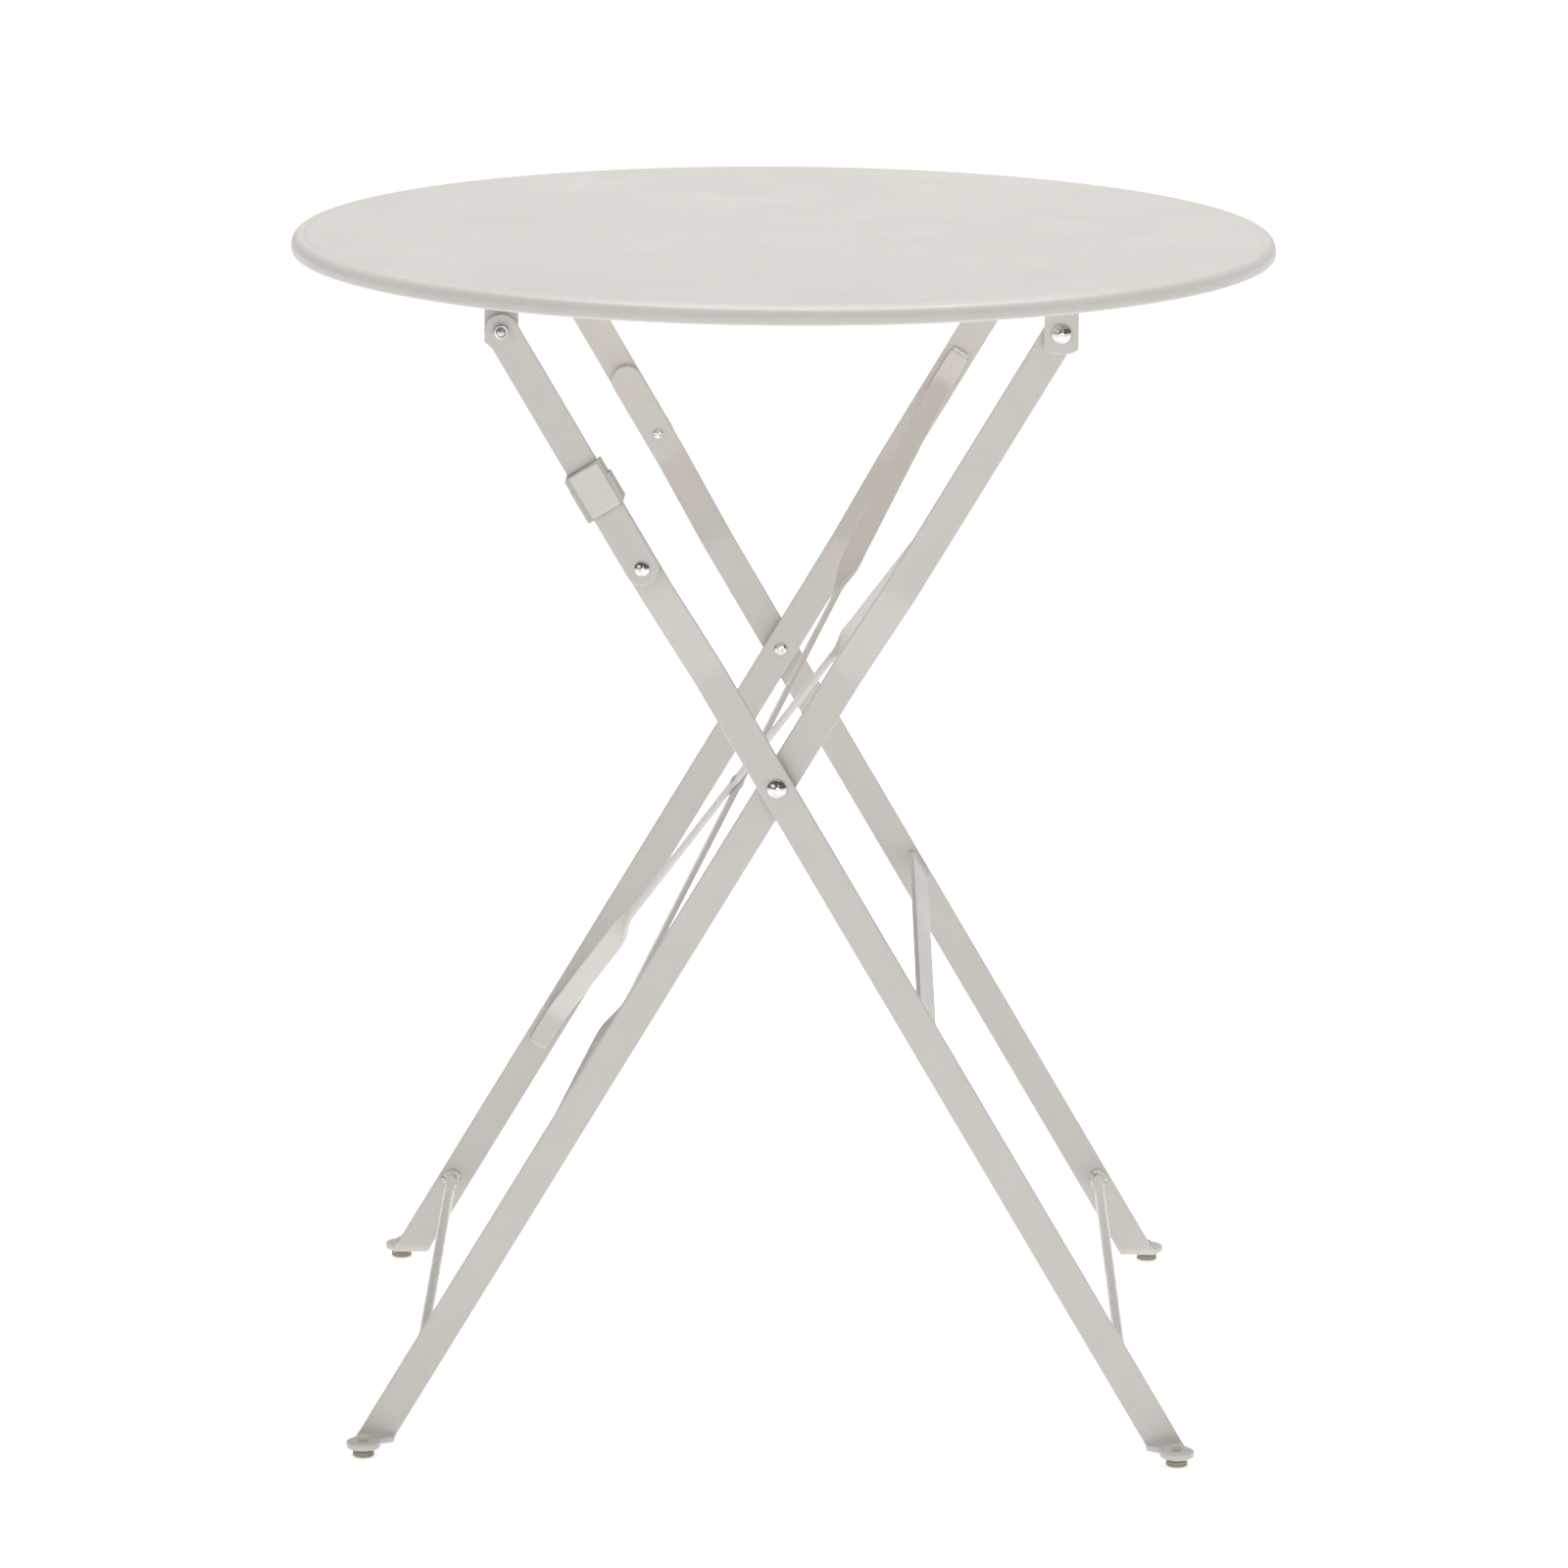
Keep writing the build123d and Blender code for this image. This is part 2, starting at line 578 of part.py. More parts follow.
# ================= sliding lock sleeve on the front link =================
# Its upper part closes round the link alone. Its wider lower part also hooks
# round the left edge and the back of the long bar's end; the right edge is open
# at that bar's depth, so that the bar can swing out as the table folds.
clip_s0, clip_step, clip_s1 = 196.5, 217.5, 227.0
play = 0.5
link_out = link_q + bar_t
with BuildPart() as lock_sleeve:
    lower = Plane(origin=tuple(at(dir_a, nor_a, clip_s0, 0)), x_dir=tuple(nor_a), z_dir=tuple(dir_a))
    upper = Plane(origin=tuple(at(dir_a, nor_a, clip_step, 0)), x_dir=tuple(nor_a), z_dir=tuple(dir_a))
    y_back, y_front = -(a_up - 0.4 - 1.6), -(link_out + 0.4 + 2.4)
    with BuildSketch(lower):
        Polygon((-13.6, y_back), (half_w, y_back), (half_w, -(a_up - 0.4)), (-half_w - play, -(a_up - 0.4)),
                (-half_w - play, -(link_out + 0.4)), (half_w + play, -(link_out + 0.4)), (half_w + play, -link_q),
                (13.9, -link_q), (13.9, y_front), (-13.6, y_front), align=None)
    extrude(amount=clip_step - clip_s0)
    y_mid = -(link_q - 0.3)
    with BuildSketch(upper):
        Polygon((-13.3, y_mid + 2.0), (-3.5, y_mid + 2.0), (-3.5, y_mid), (-half_w - play, y_mid),
                (-half_w - play, -(link_out + 0.4)), (half_w + play, -(link_out + 0.4)), (half_w + play, -link_q),
                (12.6, -link_q), (12.6, y_front), (-13.3, y_front), align=None)
    extrude(amount=clip_s1 - clip_step)
    with BuildSketch(Plane.XZ.offset(-y_front)):
        Polygon(xz(at(dir_a, nor_a, clip_s0 + 1.2, -9.6)), xz(at(dir_a, nor_a, clip_s0 + 1.2, 9.6)),
                xz(at(dir_a, nor_a, clip_s1 - 1.2, 9.6)), xz(at(dir_a, nor_a, clip_s1 - 1.2, -9.6)), align=None)
    extrude(amount=0.6)
lock_sleeve.part.label = "lock_sleeve"
export_step(lock_sleeve.part, "parts/lock_sleeve.step")

# ================= weld beads =================
with BuildPart() as weld_beads_a:
    with BuildSketch(turning_plane(rod_a)):
        Polygon((a_low, rod_r), (a_low, rod_r + 2.2), (a_low - 2.4, rod_r), align=None)
    revolve(axis=turning_axis(rod_a))
    with BuildSketch(plane_a.offset(stretcher_w)):
        with Locations((-168.0, a_low - 1.0)):
            Rectangle(19.0, 2.0)
    extrude(amount=-2.0)
    mirror(about=Plane.XZ)
weld_beads_a.part.label = "weld_beads_a"
export_step(weld_beads_a.part, "parts/weld_beads_a.step")

with BuildPart() as weld_beads_b:
    with BuildSketch(turning_plane(rod_b)):
        Polygon((b_low, rod_r), (b_low, rod_r + 2.2), (b_low - 2.4, rod_r), align=None)
    revolve(axis=turning_axis(rod_b))
    with BuildSketch(plane_b):
        Polygon((brace_hi[0] + tab_len, b_up), (brace_hi[0] + tab_len + 3, b_up), (brace_hi[0] + tab_len, b_up - 3), align=None)
        Polygon((brace_lo[0] - tab_len, b_low), (brace_lo[0] - tab_len - 3, b_low), (brace_lo[0] - tab_len, b_low - 3), align=None)
    extrude(amount=brace_w / 2, both=True)
    mirror(about=Plane.XZ)
weld_beads_b.part.label = "weld_beads_b"
export_step(weld_beads_b.part, "parts/weld_beads_b.step")

# Welds that hold the rails to the underside of the top.
with BuildPart() as rail_welds:
    for x in (-pivot_x, pivot_x):
        for side in (-1, 1):
            with BuildSketch(Plane.XZ):
                Polygon((x + side * half_w, rail_top), (x + side * (half_w + 2.5), rail_top),
                        (x + side * half_w, rail_top - 2.5), align=None)
            extrude(amount=12.0, both=True)
            with BuildSketch(Plane.XZ.offset(170)):
                Polygon((x + side * half_w, rail_top), (x + side * (half_w + 2.5), rail_top),
                        (x + side * half_w, rail_top - 2.5), align=None)
            extrude(amount=12.0, both=True)
            with BuildSketch(Plane.XZ.offset(-170)):
                Polygon((x + side * half_w, rail_top), (x + side * (half_w + 2.5), rail_top),
                        (x + side * half_w, rail_top - 2.5), align=None)
            extrude(amount=12.0, both=True)
rail_welds.part.label = "rail_welds"
export_step(rail_welds.part, "parts/rail_welds.step")
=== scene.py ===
import math

import bmesh
import bpy
import numpy as np
from mathutils import Matrix, Vector, noise


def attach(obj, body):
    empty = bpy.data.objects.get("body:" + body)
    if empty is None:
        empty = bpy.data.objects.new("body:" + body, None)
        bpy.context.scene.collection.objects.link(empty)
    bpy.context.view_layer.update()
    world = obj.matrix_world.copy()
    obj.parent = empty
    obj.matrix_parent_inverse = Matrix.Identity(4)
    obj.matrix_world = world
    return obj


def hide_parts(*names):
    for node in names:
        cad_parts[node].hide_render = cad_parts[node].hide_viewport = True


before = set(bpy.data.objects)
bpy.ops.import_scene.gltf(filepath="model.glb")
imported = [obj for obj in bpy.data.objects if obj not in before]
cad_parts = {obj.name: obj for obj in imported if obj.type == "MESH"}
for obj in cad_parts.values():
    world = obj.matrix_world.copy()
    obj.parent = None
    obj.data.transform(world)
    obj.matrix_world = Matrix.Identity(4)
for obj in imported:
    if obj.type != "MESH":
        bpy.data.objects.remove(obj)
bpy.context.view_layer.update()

scene = bpy.context.scene
MM = 0.001

# ---------------------------------------------------------------- dimensions (mm), as the CAD has them
TOP_R, TOP_Z, SHEET, RIM = 300.0, 712.0, 1.2, 11.0
PX, PZ = 163.0, 687.0
CX, CZ = -1.0, 411.0
J_S = 157.4
BAR_W, BAR_T, GAP = 20.0, 4.0, 2.4
B_LOW, JOG = 206.0, 16.0
JOG0, JOG1 = 80.0, 140.0
A_LOW = B_LOW + BAR_T + GAP
B_UP, A_UP = B_LOW + JOG, A_LOW + JOG
LINK_Q = A_UP + BAR_T + 0.4
A_TOP = 207.0
FLANGE_Z, BEND_R = 5.6, 3.0
PAD_REACH = 16.6
HW = BAR_W / 2

cross = np.array((CX, 0.0, CZ))
dA = np.array((-PX - CX, 0.0, PZ - CZ)); dA /= np.linalg.norm(dA)
dB = np.array((PX - CX, 0.0, PZ - CZ)); dB /= np.linalg.norm(dB)
nA = np.array((dA[2], 0.0, -dA[0]))
nB = np.array((dB[2], 0.0, -dB[0]))
LINK_TOP = float(np.linalg.norm(np.array((-PX, 0.0, PZ)) - cross))
B_TOP = float(np.linalg.norm(np.array((PX, 0.0, PZ)) - cross))
J = cross + dA * J_S
OUT = np.array((0.0, -1.0, 0.0))


def at(d, n, s, w, q=0.0):
    return cross + d * s + n * w + OUT * q


# ---------------------------------------------------------------- materials
def nodes_of(name):
    m = bpy.data.materials.new(name)
    m.use_nodes = True
    nt = m.node_tree
    nt.nodes.clear()
    out = nt.nodes.new("ShaderNodeOutputMaterial")
    bsdf = nt.nodes.new("ShaderNodeBsdfPrincipled")
    nt.links.new(bsdf.outputs[0], out.inputs[0])
    coord = nt.nodes.new("ShaderNodeTexCoord")
    return m, nt, bsdf, coord


def noise_tex(nt, coord, scale, detail=3.0, rough=0.5, dim=None):
    n = nt.nodes.new("ShaderNodeTexNoise")
    n.inputs["Scale"].default_value = scale
    n.inputs["Detail"].default_value = detail
    n.inputs["Roughness"].default_value = rough
    if dim is not None:
        mp = nt.nodes.new("ShaderNodeMapping")
        mp.inputs["Scale"].default_value = dim
        nt.links.new(coord.outputs["Object"], mp.inputs["Vector"])
        nt.links.new(mp.outputs[0], n.inputs["Vector"])
    else:
        nt.links.new(coord.outputs["Object"], n.inputs["Vector"])
    return n


def ramp(nt, src, stops):
    r = nt.nodes.new("ShaderNodeValToRGB")
    el = r.color_ramp.elements
    while len(el) < len(stops):
        el.new(0.5)
    for e, (p, c) in zip(el, stops):
        e.position = p
        e.color = (*c, 1.0)
    nt.links.new(src, r.inputs[0])
    return r


def mix_rgb(nt, fac, a, b, blend="MIX"):
    m = nt.nodes.new("ShaderNodeMix")
    m.data_type = "RGBA"
    m.blend_type = blend
    m.clamp_result = False
    for sock, val in ((m.inputs[0], fac), (m.inputs[6], a), (m.inputs[7], b)):
        if isinstance(val, bpy.types.NodeSocket):
            nt.links.new(val, sock)
        elif isinstance(val, (float, int)):
            sock.default_value = val
        else:
            sock.default_value = (*val, 1.0)
    return m.outputs[2]


def math_node(nt, op, a, b=0.0):
    m = nt.nodes.new("ShaderNodeMath")
    m.operation = op
    for sock, val in ((m.inputs[0], a), (m.inputs[1], b)):
        if isinstance(val, bpy.types.NodeSocket):
            nt.links.new(val, sock)
        else:
            sock.default_value = val
    return m.outputs[0]


def map_range(nt, src, a, b, lo, hi):
    m = nt.nodes.new("ShaderNodeMapRange")
    m.inputs[1].default_value, m.inputs[2].default_value = a, b
    m.inputs[3].default_value, m.inputs[4].default_value = lo, hi
    nt.links.new(src, m.inputs[0])
    return m.outputs[0]


def srgb(r, g, b):
    def lin(v):
        v /= 255.0
        return v / 12.92 if v <= 0.04045 else ((v + 0.055) / 1.055) ** 2.4
    return (lin(r), lin(g), lin(b))


def scaled(c, k):
    return tuple(min(1.0, v * k) for v in c)


def powder_coat(name, base, rough=(0.34, 0.46), peel=0.12, peel_scale=520.0, crease_shade_amount=0.5, rim=1.16):
    """Satin powder coat: orange peel, faint drift in tone, paler edges from thinner paint plus a painted highlight, and
    painted shade darkening the creases.
    """
    m, nt, bsdf, coord = nodes_of(name)
    broad = noise_tex(nt, coord, 5.5, 2.0, 0.5)
    tone = ramp(nt, broad.outputs[0], [(0.30, scaled(base, 0.975)), (0.55, base), (0.78, scaled(base, 1.02))])
    mid = noise_tex(nt, coord, 46.0, 4.0, 0.6)
    mottled = mix_rgb(nt, map_range(nt, mid.outputs[0], 0.42, 0.70, 0.0, 0.5),
                      tone.outputs[0], (base[0] * 0.965, base[1] * 0.955, base[2] * 0.935))
    grain = noise_tex(nt, coord, 2600.0, 1.0, 0.5)
    fine = mix_rgb(nt, map_range(nt, grain.outputs[0], 0.60, 0.74, 0.0, 0.18), mottled, scaled(base, 1.10))
    geo = nt.nodes.new("ShaderNodeNewGeometry")
    # paler on sharp edges: thinner paint there, plus a painted highlight along the edges
    edge = map_range(nt, geo.outputs["Pointiness"], 0.52, 0.62, 0.0, 0.42)
    thin_coat_and_highlight_edge = mix_rgb(nt, edge, fine, scaled(base, rim))
    # darker in creases and hollows: painted shade, its depth set per paint
    painted_crease_shade = map_range(nt, geo.outputs["Pointiness"], 0.40, 0.485, crease_shade_amount * 0.6, 0.0)
    final = mix_rgb(nt, painted_crease_shade, thin_coat_and_highlight_edge, (base[0] * 0.78, base[1] * 0.75, base[2] * 0.70))
    nt.links.new(final, bsdf.inputs["Base Color"])
    smear = noise_tex(nt, coord, 17.0, 5.0, 0.62)
    nt.links.new(map_range(nt, smear.outputs[0], 0.30, 0.72, rough[0], rough[1]), bsdf.inputs["Roughness"])
    bsdf.inputs["IOR"].default_value = 1.47
    bsdf.inputs["Coat Weight"].default_value = 0.10
    bsdf.inputs["Coat Roughness"].default_value = 0.22
    skin = noise_tex(nt, coord, peel_scale, 2.0, 0.45)
    wave = noise_tex(nt, coord, 9.0, 1.0, 0.4)
    b1 = nt.nodes.new("ShaderNodeBump")
    b1.inputs["Strength"].default_value = peel
    b1.inputs["Distance"].default_value = 0.00022
    nt.links.new(skin.outputs[0], b1.inputs["Height"])
    b2 = nt.nodes.new("ShaderNodeBump")
    b2.inputs["Strength"].default_value = 0.30
    b2.inputs["Distance"].default_value = 0.0008
    nt.links.new(wave.outputs[0], b2.inputs["Height"])
    nt.links.new(b1.outputs[0], b2.inputs["Normal"])
    nt.links.new(b2.outputs[0], bsdf.inputs["Normal"])
    return m


def metal(name, base, rough=(0.10, 0.22), scratch=0.10, stretch=(1.0, 1.0, 1.0)):
    m, nt, bsdf, coord = nodes_of(name)
    spots = noise_tex(nt, coord, 320.0, 4.0, 0.65)
    tone = ramp(nt, spots.outputs[0], [(0.30, scaled(base, 0.86)), (0.58, base), (0.80, scaled(base, 1.05))])
    geo = nt.nodes.new("ShaderNodeNewGeometry")
    # darker in creases and round the rims of heads: painted shade, the dark ring round rivet domes and nuts
    painted_crease_shade = map_range(nt, geo.outputs["Pointiness"], 0.36, 0.48, 0.75, 0.0)
    crease_shaded_tone = mix_rgb(nt, painted_crease_shade, tone.outputs[0], scaled(base, 0.28))
    nt.links.new(crease_shaded_tone, bsdf.inputs["Base Color"])
    bsdf.inputs["Metallic"].default_value = 1.0
    haze = noise_tex(nt, coord, 140.0, 5.0, 0.6)
    nt.links.new(map_range(nt, haze.outputs[0], 0.32, 0.72, rough[0], rough[1]), bsdf.inputs["Roughness"])
    brush = noise_tex(nt, coord, 900.0, 2.0, 0.5, stretch)
    b = nt.nodes.new("ShaderNodeBump")
    b.inputs["Strength"].default_value = scratch
    b.inputs["Distance"].default_value = 0.00012
    nt.links.new(brush.outputs[0], b.inputs["Height"])
    nt.links.new(b.outputs[0], bsdf.inputs["Normal"])
    return m


def plastic(name, base, rough=(0.42, 0.58)):
    m, nt, bsdf, coord = nodes_of(name)
    flow = noise_tex(nt, coord, 160.0, 4.0, 0.6)
    tone = ramp(nt, flow.outputs[0], [(0.28, scaled(base, 0.80)), (0.55, base), (0.82, scaled(base, 1.14))])
    # the stems above the flanges carry overspray, so they are paler than the pads
    sep = nt.nodes.new("ShaderNodeSeparateXYZ")
    nt.links.new(coord.outputs["Object"], sep.inputs[0])
    stem = mix_rgb(nt, map_range(nt, sep.outputs[2], 0.0088, 0.0096, 0.0, 1.0), tone.outputs[0], srgb(198, 192, 180))
    nt.links.new(stem, bsdf.inputs["Base Color"])
    scuff = noise_tex(nt, coord, 700.0, 3.0, 0.6)
    nt.links.new(map_range(nt, scuff.outputs[0], 0.30, 0.72, rough[0], rough[1]), bsdf.inputs["Roughness"])
    bsdf.inputs["Subsurface Weight"].default_value = 0.12
    bsdf.inputs["Subsurface Radius"].default_value = (0.003, 0.002, 0.0015)
    b = nt.nodes.new("ShaderNodeBump")
    b.inputs["Strength"].default_value = 0.22
    b.inputs["Distance"].default_value = 0.0002
    nt.links.new(scuff.outputs[0], b.inputs["Height"])
    nt.links.new(b.outputs[0], bsdf.inputs["Normal"])
    return m


PAINT = srgb(205, 200.5, 195)
M_TOP = powder_coat("top_powder_coat", PAINT, rough=(0.36, 0.48), peel=0.10, peel_scale=480.0, crease_shade_amount=0.15)
# the frame copy of the same paint is 3% darker: painted shade for the upright legs
M_FRAME = powder_coat("frame_powder_coat", scaled(PAINT, 0.97), rough=(0.32, 0.44), peel=0.12, peel_scale=560.0, crease_shade_amount=0.12)
# the weld, rod and brace copies are paler than the frame paint they share: painted light
M_WELD = powder_coat("weld_powder_coat", scaled(PAINT, 1.12), rough=(0.26, 0.46), peel=0.40, peel_scale=900.0, crease_shade_amount=0.4)
M_ROD = powder_coat("rod_powder_coat", scaled(PAINT, 1.10), rough=(0.22, 0.38), peel=0.42, peel_scale=260.0, crease_shade_amount=0.2)
M_BRACE = powder_coat("brace_powder_coat", scaled(PAINT, 1.04), rough=(0.30, 0.42), peel=0.14, peel_scale=560.0, crease_shade_amount=0.1)
M_SLEEVE = powder_coat("sleeve_powder_coat", srgb(182, 182, 174), rough=(0.26, 0.38), peel=0.10, peel_scale=620.0, crease_shade_amount=0.8)
M_PANEL = powder_coat("sleeve_face_powder_coat", scaled(PAINT, 1.07), rough=(0.26, 0.38), peel=0.10, peel_scale=620.0, crease_shade_amount=0.2)
M_RIVET = metal("nickel_rivet", (0.74, 0.71, 0.69), rough=(0.07, 0.16), scratch=0.05)
M_ZINC = metal("zinc_plate", (0.62, 0.62, 0.62), rough=(0.10, 0.20), scratch=0.10)
M_GLIDE = plastic("glide_nylon", srgb(168, 160, 146))


# ---------------------------------------------------------------- mesh helpers (mm in, metres out)
def make(name, verts, faces, mat, body, slot, nodes, sharp=None, smooth=True):
    me = bpy.data.meshes.new(name)
    me.from_pydata([tuple(float(c) * MM for c in v) for v in verts], [], faces)
    bm = bmesh.new()
    bm.from_mesh(me)
    bmesh.ops.remove_doubles(bm, verts=bm.verts, dist=1e-7)
    bmesh.ops.dissolve_degenerate(bm, edges=bm.edges, dist=1e-7)
    bmesh.ops.recalc_face_normals(bm, faces=bm.faces)
    for f in bm.faces:
        f.smooth = smooth
    bm.to_mesh(me)
    bm.free()
    me.validate()
    ob = bpy.data.objects.new(name, me)
    scene.collection.objects.link(ob)
    me.materials.append(mat)
    if sharp is not None:
        b = ob.modifiers.new("soft_edges", "BEVEL")
        b.width = sharp * MM
        b.segments = 3
        b.limit_method = "ANGLE"
        b.angle_limit = math.radians(32)
        b.use_clamp_overlap = True
        b.harden_normals = False
    w = ob.modifiers.new("even_normals", "WEIGHTED_NORMAL")
    w.keep_sharp = True
    w.weight = 60
    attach(ob, body)
    if nodes:
        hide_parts(*nodes)
    return ob


def mirrored(verts):
    return [(v[0], -v[1], v[2]) for v in verts]


def join_parts(parts):
    """Several (verts, faces) as one list."""
    verts, faces = [], []
    for v, f in parts:
        k = len(verts)
        verts += [tuple(p) for p in v]
        faces += [tuple(i + k for i in g) for g in f]
    return verts, faces


def strip(left, right, surf, t, e, n=4, tip0=None, tip1=None):
    """A plate of thickness t with rounded edges of radius e. Its outline is given in
    sheet coordinates as two matching rows of points and a tip at either end; surf takes
    sheet coordinates to the middle surface and its normal."""
    left, right = [tuple(p) for p in left], [tuple(p) for p in right]
    loop = list(left) + ([tuple(tip1)] if tip1 is not None else []) + right[::-1] + ([tuple(tip0)] if tip0 is not None else [])
    P = np.array(loop, float)
    prv, nxt = np.roll(P, 1, 0), np.roll(P, -1, 0)
    e1, e2 = P - prv, nxt - P
    e1 /= np.linalg.norm(e1, axis=1)[:, None]
    e2 /= np.linalg.norm(e2, axis=1)[:, None]
    area = 0.5 * np.sum(P[:, 0] * nxt[:, 1] - nxt[:, 0] * P[:, 1])
    sg = 1.0 if area > 0 else -1.0
    n1 = sg * np.stack([e1[:, 1], -e1[:, 0]], 1)
    n2 = sg * np.stack([e2[:, 1], -e2[:, 0]], 1)
    m = (n1 + n2) / (1.0 + np.sum(n1 * n2, 1))[:, None]
    prof = []
    for k in range(n + 1):
        a = math.pi / 2 * k / n
        prof.append((e * (1 - math.sin(a)), t / 2 - e * (1 - math.cos(a))))
    prof += [(i, -h) for i, h in prof[::-1]]
    if t - 2 * e < 0.05:
        prof.pop(n + 1)
    verts, N = [], len(P)
    for inset, h in prof:
        pos, nor = surf(P - m * inset)
        verts += [tuple(v) for v in pos + nor * h]
    faces = []
    for r in range(len(prof) - 1):
        for i in range(N):
            j = (i + 1) % N
            faces.append((r * N + i, r * N + j, (r + 1) * N + j, (r + 1) * N + i))
    nl = len(left)
    off = nl + (1 if tip1 is not None else 0)
    R = lambda i: off + (nl - 1 - i)
    for base, flip in ((0, False), ((len(prof) - 1) * N, True)):
        caps = [(i, i + 1, R(i + 1), R(i)) for i in range(nl - 1)]
        if tip1 is not None:
            caps.append((nl - 1, nl, R(nl - 1)))
        if tip0 is not None:
            caps.append((N - 1, 0, R(0)))
        for c in caps:
            c = tuple(base + k for k in c)
            faces.append(c[::-1] if flip else c)
    return verts, faces


def lathe(profile, origin, axis, seg=64, wobble=None):
    """Closed solid of revolution; profile is (radius, height) from pole to pole."""
    axis = np.array(axis, float) / np.linalg.norm(axis)
    ref = np.array((0.0, 0.0, 1.0)) if abs(axis[2]) < 0.9 else np.array((1.0, 0.0, 0.0))
    u = np.cross(axis, ref); u /= np.linalg.norm(u)
    v = np.cross(axis, u)
    o = np.array(origin, float)
    verts, rows = [], []
    for r, h in profile:
        if r < 1e-6:
            rows.append([len(verts)])
            verts.append(tuple(o + axis * h))
            continue
        row = []
        for k in range(seg):
            a = 2 * math.pi * k / seg
            rr, hh = (r, h) if wobble is None else wobble(r, h, a)
            row.append(len(verts))
            verts.append(tuple(o + axis * hh + (u * math.cos(a) + v * math.sin(a)) * rr))
        rows.append(row)
    faces = []
    for A, B in zip(rows[:-1], rows[1:]):
        if len(A) == 1 and len(B) == 1:
            continue
        for k in range(seg):
            j = (k + 1) % seg
            if len(A) == 1:
                faces.append((A[0], B[k], B[j]))
            elif len(B) == 1:
                faces.append((A[k], A[j], B[0]))
            else:
                faces.append((A[k], A[j], B[j], B[k]))
    return verts, faces


def arc(cx, cy, r, a0, a1, n):
    """Points on an arc, degrees, both ends included."""
    return [(cx + r * math.cos(math.radians(a0 + (a1 - a0) * k / n)),
             cy + r * math.sin(math.radians(a0 + (a1 - a0) * k / n))) for k in range(n + 1)]


def hex_radius(a, flat):
    return flat / math.cos(((a + math.pi / 6) % (math.pi / 3)) - math.pi / 6)


def bead(path, r, closed=False, seed=0.0, ring=14, ripple=0.16, pitch=1.9, lumps=0.22, squash=None):
    """A run of weld metal along a path: overlapping ripples and uneven lumps."""
    P = [np.array(p, float) for p in path]
    if closed:
        P.append(P[0])
    seg = [np.linalg.norm(b - a) for a, b in zip(P[:-1], P[1:])]
    length = sum(seg)
    count = max(10, int(length / 0.42))
    cum = np.concatenate([[0], np.cumsum(seg)])
    XYZ = np.array(P)
    ts = np.linspace(0, length, count + 1)[: count if closed else count + 1]
    C = np.stack([np.interp(ts, cum, XYZ[:, k]) for k in range(3)], 1)
    verts, faces, rows = [], [], []
    for i, c in enumerate(C):
        a, b = C[i - 1] if (closed or i) else C[0], C[(i + 1) % len(C)] if (closed or i + 1 < len(C)) else C[-1]
        t = b - a
        t /= max(np.linalg.norm(t), 1e-9)
        ref = np.array((0.13, 0.31, 0.94)) if abs(t[2]) < 0.85 else np.array((0.96, 0.21, 0.1))
        u = np.cross(t, ref); u /= np.linalg.norm(u)
        v = np.cross(t, u)
        env = 1.0
        if not closed:
            d = min(i, len(C) - 1 - i) * length / count
            env = math.sqrt(max(0.0, 1 - (1 - min(d / (r * 1.1), 1.0)) ** 2))
        phase = (ts[i] / pitch) % 1.0
        rip = 1 + ripple * (math.sqrt(1 - (phase - 0.5) ** 2 * 2.0) - 0.85)
        if env < 0.02:
            rows.append([len(verts)])
            verts.append(tuple(c))
            continue
        row = []
        for k in range(ring):
            ang = 2 * math.pi * k / ring
            dirn = u * math.cos(ang) + v * math.sin(ang)
            nz = noise.noise(Vector(tuple((c + dirn * r) * 0.55 + seed)))
            rr = r * env * rip * (1 + lumps * nz)
            off = dirn * rr
            if squash is not None:
                ax, fac = squash
                ax = np.array(ax, float)
                off = off - ax * (off @ ax) * (1 - fac)
            row.append(len(verts))
            verts.append(tuple(c + off))
        rows.append(row)
    pairs = list(zip(rows[:-1], rows[1:])) + ([(rows[-1], rows[0])] if closed else [])
    for A, B in pairs:
        if len(A) == 1 and len(B) == 1:
            continue
        for k in range(ring):
            j = (k + 1) % ring
            if len(A) == 1:
                faces.append((A[0], B[k], B[j]))
            elif len(B) == 1:
                faces.append((A[k], A[j], B[0]))
            else:
                faces.append((A[k], A[j], B[j], B[k]))
    if not closed:
        for row in (rows[0], rows[-1]):
            if len(row) > 1:
                faces.append(tuple(row))
    return verts, faces


